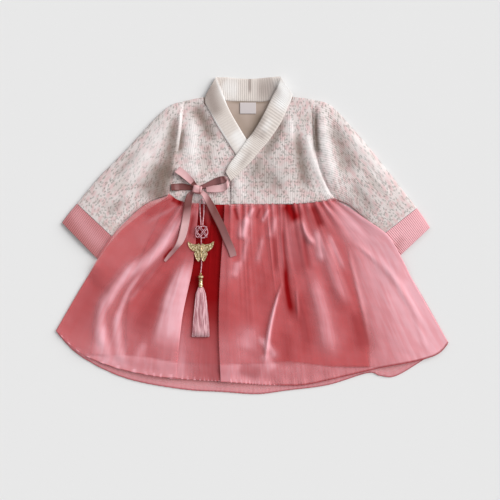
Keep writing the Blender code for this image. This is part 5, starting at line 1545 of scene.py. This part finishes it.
def laid_route(route, points):
    """A route read smoothly, its heights over all that lies within its width."""
    values = through(route, np.linspace(0, 1, points))
    beneath = [Laid.top_near(x, y, half + 0.8) for x, y, half in values[:, :3]]
    window = max(2, points // 16)
    heights = np.array([max(beneath[max(0, i - window) : i + window + 1]) for i in range(points)])
    kernel = np.ones(2 * window + 1) / (2 * window + 1)
    smoothed = np.convolve(np.pad(heights, window, mode="edge"), kernel, mode="valid")
    values[:, 3] += np.maximum(smoothed, heights - 0.4) + CLEARANCE
    return values


def build_ribbon(name, route, look, wall, shades, side=None):
    """A flat satin ribbon along the route that it lies on."""
    places = laid_route(route, 90)
    line = stacked(places[:, 0], places[:, 1], places[:, 3] + 0.5)
    run = np.gradient(line, axis=0)
    shares = np.linspace(-1, 1, 13)
    sideways = stacked(-run[:, 1], run[:, 0], 0.0) if side is None else np.array([[*side, 0.0]])
    sideways = sideways / np.linalg.norm(sideways, axis=1, keepdims=True)
    half, roll = places[:, 2:3], np.radians(places[:, 4:5])
    across = sideways * np.cos(roll) + np.array([0.0, 0.0, 1.0]) * np.sin(roll)
    grid = line[:, None] + across[:, None] * (half * shares)[..., None]
    # The ribbon is a little cupped, and a rolled one stands on its lower edge
    grid[..., 2] += 0.35 * shares**2 - 0.1 + np.abs(np.sin(roll)) * half
    upper, lower = thickened(grid, wall)
    distance = distances(line)
    uvs = stacked(shares * RIBBON_WIDTH / 2, distance[:, None]) * MM
    ribbon = wall_object(name + "_satin", upper, lower, uvs)
    # Painted shade and painted highlights along the ribbon, and painted shade at its edges
    part = (distance / distance[-1])[:, None] + 0.03 * shares
    rows, deep, bright = np.transpose(shades)
    deep = np.minimum(1.0, np.interp(part, rows, deep) + 0.35 * (shares * shares) ** 4)
    write_shades(ribbon, deep, np.interp(part, rows, bright))
    lay(ribbon, look, name)


def build_tie(colours, sizes):
    """The satin tie: its sewn strip, two loops, two tails and knot."""
    wall = sizes.ribbon_wall / MM
    satin = satin_material(colours)
    build_ribbon("tie_anchor", LEFT_ANCHOR, satin, wall, ANCHOR_SHADES)
    build_ribbon("tie_loop_left", LEFT_LOOP, satin, wall, LEFT_LOOP_SHADES, side=(0.68, 0.73))
    build_ribbon("tie_loop_right", RIGHT_LOOP, satin, wall, RIGHT_LOOP_SHADES, side=(-0.15, 1.0))
    build_ribbon("tie_tail_left", LEFT_TAIL, satin, wall, LEFT_TAIL_SHADES)
    build_ribbon("tie_tail_right", RIGHT_TAIL, satin, wall, RIGHT_TAIL_SHADES)
    build_knot(satin)


def build_knot(look):
    """The tie's knot: one wrap of ribbon, crowned, with creases where it is pulled tight."""
    base = Laid.top_near(*KNOT_CENTRE, KNOT_HALF) + CLEARANCE
    u, v = np.meshgrid(np.linspace(-1, 1, 40), np.linspace(-1, 1, 40))
    pinch = 1.0 - 0.14 * u * u
    x = KNOT_CENTRE[0] + KNOT_HALF * (0.92 * u + 0.16 * v)
    y = KNOT_CENTRE[1] - KNOT_HALF * (0.2 * u - 0.92 * v * pinch)
    bulge = np.sqrt(np.maximum(0.0, 1.0 - 0.96 * u**4)) * np.sqrt(np.maximum(0.0, 1.0 - 0.96 * v**4))
    folds = 0.35 * np.sin(4.0 * v + 1.2 * u) * (1 - u * u)
    top = stacked(x, y, base + 0.5 + (KNOT_HEIGHT - 0.8) * bulge + folds * bulge)
    bottom = stacked(x, y, base)
    uvs = stacked(u * 5.0, v * 7.0) * MM
    knot = wall_object("tie_knot_satin", top, bottom, uvs)
    # Painted shade in the creases at the right and below, and a painted highlight on top
    right_crease_shade = np.exp(-(((u - 0.62 + 0.12 * v) / 0.16) ** 2)) * smooth_step((v + 0.9) / 0.5)
    low_crease_shade = smooth_step((-0.45 - v + 0.2 * u) / 0.3)
    shine = 0.4 * np.exp(-(((v - 0.3) / 0.4) ** 2) - (u + 0.2) ** 2)
    write_shades(knot, np.clip(0.75 * right_crease_shade + 0.7 * low_crease_shade, 0.0, 0.9), shine)
    lay(knot, look, "tie_knot")


def laid_cord(route, count, start_z, end_z):
    """A cord's middle line over all that lies below it, lifted to the height of what holds its ends."""
    radius = PENDANT_CORD / 2
    places = through(route, np.linspace(0, 1, count))
    under = [Laid.top_near(x, y, radius + 0.6) for x, y in places]
    points = []
    for i, (x, y) in enumerate(places):
        rest = max(under[max(0, i - 2) : i + 3]) + CLEARANCE + radius
        part = i / (count - 1)
        near_start = 1.0 - float(smooth_step(part / 0.22))
        near_end = 1.0 - float(smooth_step((1.0 - part) / 0.22))
        z = rest + max(0.0, start_z - rest) * near_start + max(0.0, end_z - rest) * near_end
        points.append((x, y, z))
    points = np.array(points)
    kernel = np.ones(5) / 5
    points[2:-2, 2] = np.maximum(np.convolve(points[:, 2], kernel, mode="valid"), points[2:-2, 2] - 0.3)
    return points


def hang_cord(name, route, count, start_z, end_z, silk):
    """A laid silk cord along a route, its two laid strands showing."""
    radius = PENDANT_CORD / 2
    line = laid_cord(route, count, start_z, end_z)
    distance = distances(line)[:, None]
    turn = np.arange(CORD_SIDES) / CORD_SIDES
    swell = radius * (1.0 + 0.1 * np.cos(4 * np.pi * turn + distance * 2.2))
    thing = roll_object(name + "_cord", line, swell, stacked(distance, turn * 4.0))
    settle(thing, silk, name)


def build_pendant_cords(colours):
    """The pendant's maedeup knot, hanging loop and drop cord."""
    silk = thread_material("silk_cord", colours.cord, "#B37A86")
    radius = PENDANT_CORD / 2
    lift = radius + 0.45
    middle_z = Laid.top_near(*MAEDEUP_CENTRE, MAEDEUP_REACH) + CLEARANCE + lift + radius
    # One closed line woven over and under itself, with 4 and 5 lobes to its sides
    turns = np.linspace(0.0, 2 * math.pi, 961)[:-1]
    wide, high = np.sin(4 * turns + math.pi / 20), np.sin(5 * turns)
    reach = MAEDEUP_REACH - radius
    x = MAEDEUP_CENTRE[0] + reach * wide * (1.0 - 0.16 * high**2)
    y = MAEDEUP_CENTRE[1] + reach * high * (1.0 - 0.16 * wide**2)
    line = stacked(x, y, middle_z + lift * np.cos(31 * turns))
    uvs = stacked(np.arange(len(line))[:, None] * 0.4, np.arange(8) * 0.5)
    knot = roll_object("norigae_maedeup_knot", line, radius * 0.80, uvs, looped=True)
    settle(knot, silk, "norigae_maedeup")
    head_x, drop_x = PENDANT_X[:2]
    knot_top = MAEDEUP_CENTRE[1] + MAEDEUP_REACH + CLEARANCE
    rising = (
        (1.2, knot_top),
        (1.8, knot_top + 8.0),
        (LOOP_HALF_GAP, knot_top + 18.0),
        (LOOP_HALF_GAP, LOOP_TOP_Y - 4.0),
    )
    loop = [(head_x - off, y) for off, y in rising]
    loop += [(head_x, LOOP_TOP_Y)]
    loop += [(head_x + off, y) for off, y in reversed(rising)]
    hang_cord("norigae_loop", loop, 90, middle_z, middle_z, silk)
    knot_bottom = MAEDEUP_CENTRE[1] - MAEDEUP_REACH * 0.92 - CLEARANCE
    bead_top = BEAD_Y + BEAD_RADIUS + CLEARANCE
    drop = [
        (drop_x, knot_bottom),
        (drop_x, knot_bottom - 14.0),
        (drop_x - 0.4, (knot_bottom + bead_top) / 2),
        (drop_x + 0.4, bead_top + 12.0),
        (drop_x - 0.6, bead_top),
    ]
    hang_cord("norigae_drop", drop, 80, middle_z, bead_level(), silk)


def deselect():
    for thing in bpy.context.selected_objects:
        thing.select_set(False)


def join_pieces(pieces, name):
    """Joins modelled pieces into one object whose place is in its mesh."""
    deselect()
    for piece in pieces:
        piece.select_set(True)
    bpy.context.view_layer.objects.active = pieces[0]
    bpy.ops.object.join()
    made = bpy.context.view_layer.objects.active
    made.name = name
    bpy.ops.object.transform_apply(location=True, rotation=True, scale=True)
    bpy.ops.object.shade_smooth_by_angle(angle=math.radians(40))
    return made


def wire_piece(points, radius, closed=True):
    """A bent wire through points in millimetres, made a mesh."""
    curve = bpy.data.curves.new("wire", "CURVE")
    curve.dimensions = "3D"
    curve.bevel_depth = radius * MM
    curve.bevel_resolution = 2
    curve.use_fill_caps = True
    spline = curve.splines.new("POLY")
    spline.points.add(len(points) - 1)
    for spot, point in zip(spline.points, points):
        spot.co = (*(value * MM for value in point), 1.0)
    spline.use_cyclic_u = closed
    thing = bpy.data.objects.new("wire", curve)
    bpy.context.scene.collection.objects.link(thing)
    deselect()
    thing.select_set(True)
    bpy.context.view_layer.objects.active = thing
    bpy.ops.object.convert(target="MESH")
    return bpy.context.view_layer.objects.active


def dome_piece(x, y, z, radius, flat=0.5):
    """A stud: a ball pressed flat."""
    deselect()
    place = (x * MM, y * MM, z * MM)
    bpy.ops.mesh.primitive_uv_sphere_add(segments=16, ring_count=8, radius=radius * MM, location=place)
    made = bpy.context.view_layer.objects.active
    made.scale[2] = flat
    bpy.ops.object.transform_apply(location=False, rotation=False, scale=True)
    return made


def closed_through(points, count):
    """A smooth closed outline through points."""
    total = len(points)
    made = []
    for i in range(count):
        spot = i / count * total
        index, part = int(spot), spot - int(spot)
        a, b, c, d = (np.array(points[(index + k) % total]) for k in (-1, 0, 1, 2))
        curve = (2 * a - 5 * b + 4 * c - d) * part**2 + (3 * b - a - 3 * c + d) * part**3
        made.append(0.5 * ((2 * b) + (c - a) * part + curve))
    return made


def scroll(centre, radius, turns, start, steps=26, closing=0.15):
    """A spiral scroll of filigree wire."""
    made = []
    for i in range(steps):
        share = i / (steps - 1)
        angle = start + turns * 2 * math.pi * share
        r = radius * (1 - share * (1 - closing))
        made.append((centre[0] + r * math.cos(angle), centre[1] + r * math.sin(angle)))
    return made


def plate_piece(outline, level, thickness):
    """A flat plate cut to an outline in millimetres: a circle's corners moved onto it, then extruded."""
    deselect()
    bpy.ops.mesh.primitive_circle_add(vertices=len(outline), radius=MM, fill_type="NGON")
    made = bpy.context.view_layer.objects.active
    for vertex, (x, y) in zip(made.data.vertices, outline):
        vertex.co = (x * MM, y * MM, level * MM)
    bpy.ops.object.mode_set(mode="EDIT")
    bpy.ops.mesh.select_all(action="SELECT")
    bpy.ops.mesh.extrude_region_move(TRANSFORM_OT_translate={"value": (0.0, 0.0, thickness * MM)})
    bpy.ops.mesh.select_all(action="SELECT")
    bpy.ops.mesh.normals_make_consistent(inside=False)
    bpy.ops.object.mode_set(mode="OBJECT")
    return made


def bead_level():
    """Height of the bead's middle."""
    low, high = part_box("norigae_bead")
    return (low[2] + high[2]) / 2 / MM


def build_butterfly(colours):
    """The gilt filigree butterfly: thin wing plates with rims, scrolls, studs and a ribbed body."""
    gilt = gilt_material(colours)
    low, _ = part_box("norigae_butterfly")
    base = low[2] / MM
    level = base + 0.75
    cx, cy = BUTTERFLY_CENTRE
    pieces = []
    for mirror in (1.0, -1.0):
        for rim in (WING_UPPER, WING_LOWER):
            outline = [(cx + mirror * x, cy + y) for x, y in closed_through(rim, 48)]
            pieces.append(plate_piece(outline, base + 0.1, 0.5))
            pieces.append(wire_piece([(x, y, level) for x, y in outline], 0.45))
        for scroll_row in WING_SCROLLS:
            line = [(cx + mirror * x, cy + y, level + 0.1) for x, y in scroll(*scroll_row)]
            pieces.append(wire_piece(line, 0.32, closed=False))
        for x, y, radius in WING_STUDS:
            pieces.append(dome_piece(cx + mirror * x, cy + y, level + 0.2, radius))
        feeler = [(cx + mirror * x, cy + y, level + z) for x, y, z in FEELER]
        pieces.append(wire_piece(feeler, 0.3, closed=False))
    for step in range(8):
        pieces.append(dome_piece(cx, cy + 6.6 - step * 2.0, level + 0.5, 1.45 - 0.09 * step, 0.7))
    butterfly = join_pieces(pieces, "norigae_butterfly_gilt")
    lay(butterfly, gilt, "norigae_butterfly")
    return gilt


def turned_piece(name, profile, x, centre_z, look):
    """A turned bead or cap that lies along the pendant: a circle extruded and scaled along its profile."""
    deselect()
    first_y, first_radius = profile[0]
    bpy.ops.mesh.primitive_circle_add(
        vertices=40, radius=first_radius * MM, fill_type="NGON",
        location=(x * MM, first_y * MM, centre_z * MM), rotation=(math.pi / 2, 0.0, 0.0),
    )
    thing = bpy.context.view_layer.objects.active
    bpy.ops.object.transform_apply(location=True, rotation=True, scale=True)
    bpy.ops.object.mode_set(mode="EDIT")
    bpy.ops.mesh.select_all(action="SELECT")
    for (y0, r0), (y1, r1) in zip(profile, profile[1:]):
        bpy.ops.mesh.extrude_region_move(TRANSFORM_OT_translate={"value": (0.0, (y1 - y0) * MM, 0.0)})
        centre = (x * MM, y1 * MM, centre_z * MM)
        bpy.ops.transform.resize(value=(r1 / r0, 1.0, r1 / r0), center_override=centre)
    bpy.ops.mesh.select_all(action="SELECT")
    bpy.ops.mesh.normals_make_consistent(inside=False)
    bpy.ops.object.mode_set(mode="OBJECT")
    bpy.ops.object.shade_smooth_by_angle(angle=math.radians(50))
    thing.name = name + "_gilt"
    settle(thing, look, name)


def build_beads(gilt):
    """The pendant's bead, ring and cap, turned and gilt."""
    def rounded(y, half_height, inner, radius, tip, count):
        """Profile of a round bead or ring: half an ellipse from the inner radius outwards."""
        return [
            (y + half_height * math.sin(a), inner + (radius - inner) * math.cos(a))
            for a in np.linspace(tip, -tip, count)
        ]

    bead = rounded(BEAD_Y, BEAD_RADIUS, 0.0, BEAD_RADIUS, 1.45, 15)
    ring = rounded(RING_Y, RING_HALF_HEIGHT, 1.4, RING_RADIUS, 1.5, 17)
    cap = [(CAP_TOP_Y - CAP_LENGTH * down, CAP_RADIUS * wide) for down, wide in CAP_STEPS]
    for name, profile in (("norigae_bead", bead), ("norigae_ring", ring), ("norigae_cap", cap)):
        turned_piece(name, profile, PENDANT_X[2], bead_level(), gilt)


def build_tassel(colours, sizes):
    """The tassel: fine rayon threads from a bound head, flattened as they lie, fanning to trimmed ends."""
    low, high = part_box("norigae_tassel")
    base, depth = low[2] / MM, (high[2] - low[2]) / MM
    top_y, length = high[1] / MM, (high[1] - low[1]) / MM
    draw = random.Random(8)
    count = sizes.tassel_strands
    ranges = ((-1.0, 1.0), (0.0, 1.0), (-0.5, 0.5), (-2.0, 0.6), (0.0, 6.28))
    draws = np.array([[draw.uniform(*limits) for limits in ranges] for _ in range(count)])
    share, layer, wander, trim, phase = draws.T[..., None, None]
    part = np.linspace(0.0, 1.0, STRAND_ROWS)[:, None]
    turn = np.pi / 2 * np.arange(4)
    reach = 3.2 + 2.2 * np.sin(np.minimum(1.0, part * 6) * np.pi / 2) + 6.4 * part**0.8
    x = PENDANT_X[2] + share * reach + wander * part * 1.6 + 0.35 * np.sin(phase + part * 5.0) * part
    stack = 0.25 + 0.75 * layer**0.8 * (0.35 + 0.65 * np.sqrt(1.0 - share**2))
    z = base + 0.4 + (depth - 0.6) * stack * (1.0 - 0.35 * part)
    y = top_y - (length + trim) * part
    points = stacked(x + STRAND_RADIUS * np.cos(turn), y, z + STRAND_RADIUS * np.sin(turn))
    number = np.arange(count)[:, None, None]
    uvs = np.broadcast_to(stacked(number * 0.5, part * 50.0), (count, STRAND_ROWS, 4, 2)) * MM
    last = 4 * (STRAND_ROWS - 1)
    caps = [[0, 1, 2, 3], [last + 3, last + 2, last + 1, last]]
    strand = np.concatenate([grid_quads(STRAND_ROWS, 4, True), caps])
    quads = (strand + number * 4 * STRAND_ROWS).reshape(-1, 4)
    tassel = cloth_object("norigae_tassel_threads", points, quads, uvs)
    face_outwards(tassel)
    settle(tassel, thread_material("rayon_tassel", colours.tassel, "#B9767F", 0.08), "norigae_tassel")


def build_stage(colours):
    """A pale floor, soft studio light and the camera straight above."""
    deselect()
    bpy.ops.mesh.primitive_plane_add(size=6.0, location=(0.0, 0.0, -0.0006))
    floor = bpy.context.view_layer.objects.active
    floor.name = "floor"
    floor.data.materials.append(floor_material(colours))
    world = bpy.data.worlds.new("studio") if bpy.context.scene.world is None else bpy.context.scene.world
    bpy.context.scene.world = world
    world.use_nodes = True
    background = world.node_tree.nodes["Background"]
    background.inputs["Color"].default_value = (1.0, 1.0, 1.0, 1.0)
    background.inputs["Strength"].default_value = WORLD_STRENGTH
    for name, place, spread, share in LIGHTS:
        light = bpy.data.lights.new(name, "SUN")
        light.angle = spread
        towards = Vector(place).normalized()
        light.energy = share * math.pi / towards.z
        lamp = bpy.data.objects.new(name, light)
        lamp.location = place
        lamp.rotation_euler = towards.to_track_quat("Z", "Y").to_euler()
        bpy.context.scene.collection.objects.link(lamp)
    lens = bpy.data.cameras.new("camera")
    lens.lens = LENS
    lens.sensor_width = SENSOR
    camera = bpy.data.objects.new("camera", lens)
    camera.location = (VIEW_CENTRE[0], VIEW_CENTRE[1], CAMERA_HEIGHT)
    bpy.context.scene.collection.objects.link(camera)
    bpy.context.scene.camera = camera
    bpy.context.scene.view_settings.view_transform = "Standard"


class HanbokOperator:
    """Shared by the operators: the scene's sizes and colours."""

    bl_options = {"REGISTER", "UNDO"}

    def look(self, context):
        return context.scene.hanbok_colours, context.scene.hanbok_sizes


class HANBOK_OT_stage(HanbokOperator, bpy.types.Operator):
    """Adds the floor, lights and camera"""

    bl_idname = "hanbok.stage"
    bl_label = "Stage"

    def execute(self, context):
        build_stage(self.look(context)[0])
        return {"FINISHED"}


class HANBOK_OT_bodice(HanbokOperator, bpy.types.Operator):
    """Makes the jersey back and the two jacquard fronts"""

    bl_idname = "hanbok.bodice"
    bl_label = "Bodice"

    def execute(self, context):
        build_bodice(*self.look(context))
        return {"FINISHED"}


class HANBOK_OT_sleeves(HanbokOperator, bpy.types.Operator):
    """Makes the sleeves and their rib cuffs"""

    bl_idname = "hanbok.sleeves"
    bl_label = "Sleeves and cuffs"

    def execute(self, context):
        build_sleeves(*self.look(context))
        return {"FINISHED"}


class HANBOK_OT_collar(HanbokOperator, bpy.types.Operator):
    """Makes the rib collar band and the neck tag"""

    bl_idname = "hanbok.collar"
    bl_label = "Collar and tag"

    def execute(self, context):
        colours, sizes = self.look(context)
        build_collar(colours, sizes)
        build_tag(colours)
        return {"FINISHED"}


class HANBOK_OT_skirt(HanbokOperator, bpy.types.Operator):
    """Makes the lining and the gathered organza skirt"""

    bl_idname = "hanbok.skirt"
    bl_label = "Skirt"

    def execute(self, context):
        build_skirt(*self.look(context))
        return {"FINISHED"}


class HANBOK_OT_tie(HanbokOperator, bpy.types.Operator):
    """Makes the satin ribbon tie"""

    bl_idname = "hanbok.tie"
    bl_label = "Ribbon tie"

    def execute(self, context):
        build_tie(*self.look(context))
        return {"FINISHED"}


class HANBOK_OT_pendant(HanbokOperator, bpy.types.Operator):
    """Makes the norigae: cords, knot, butterfly, beads and tassel"""

    bl_idname = "hanbok.pendant"
    bl_label = "Norigae pendant"

    def execute(self, context):
        colours, sizes = self.look(context)
        build_pendant_cords(colours)
        gilt = build_butterfly(colours)
        build_beads(gilt)
        build_tassel(colours, sizes)
        return {"FINISHED"}


class HANBOK_PT_panel(bpy.types.Panel):
    """Lists the hanbok's pieces"""

    bl_label = "Hanbok"
    bl_space_type = "VIEW_3D"
    bl_region_type = "UI"
    bl_category = "Hanbok"

    def draw(self, context):
        for operator in OPERATORS:
            self.layout.operator(operator.bl_idname)


OPERATORS = (
    HANBOK_OT_stage,
    HANBOK_OT_bodice,
    HANBOK_OT_sleeves,
    HANBOK_OT_collar,
    HANBOK_OT_skirt,
    HANBOK_OT_tie,
    HANBOK_OT_pendant,
)
CLASSES = (HanbokSizes, HanbokColours, *OPERATORS, HANBOK_PT_panel)


def register():
    for each in CLASSES:
        bpy.utils.register_class(each)
    bpy.types.Scene.hanbok_sizes = bpy.props.PointerProperty(type=HanbokSizes)
    bpy.types.Scene.hanbok_colours = bpy.props.PointerProperty(type=HanbokColours)


def unregister():
    del bpy.types.Scene.hanbok_colours
    del bpy.types.Scene.hanbok_sizes
    for each in reversed(CLASSES):
        bpy.utils.unregister_class(each)


def main():
    register()
    bpy.ops.hanbok.stage()
    bpy.ops.hanbok.bodice()
    bpy.ops.hanbok.sleeves()
    bpy.ops.hanbok.collar()
    bpy.ops.hanbok.skirt()
    bpy.ops.hanbok.tie()
    bpy.ops.hanbok.pendant()


if __name__ == "__main__":
    main()
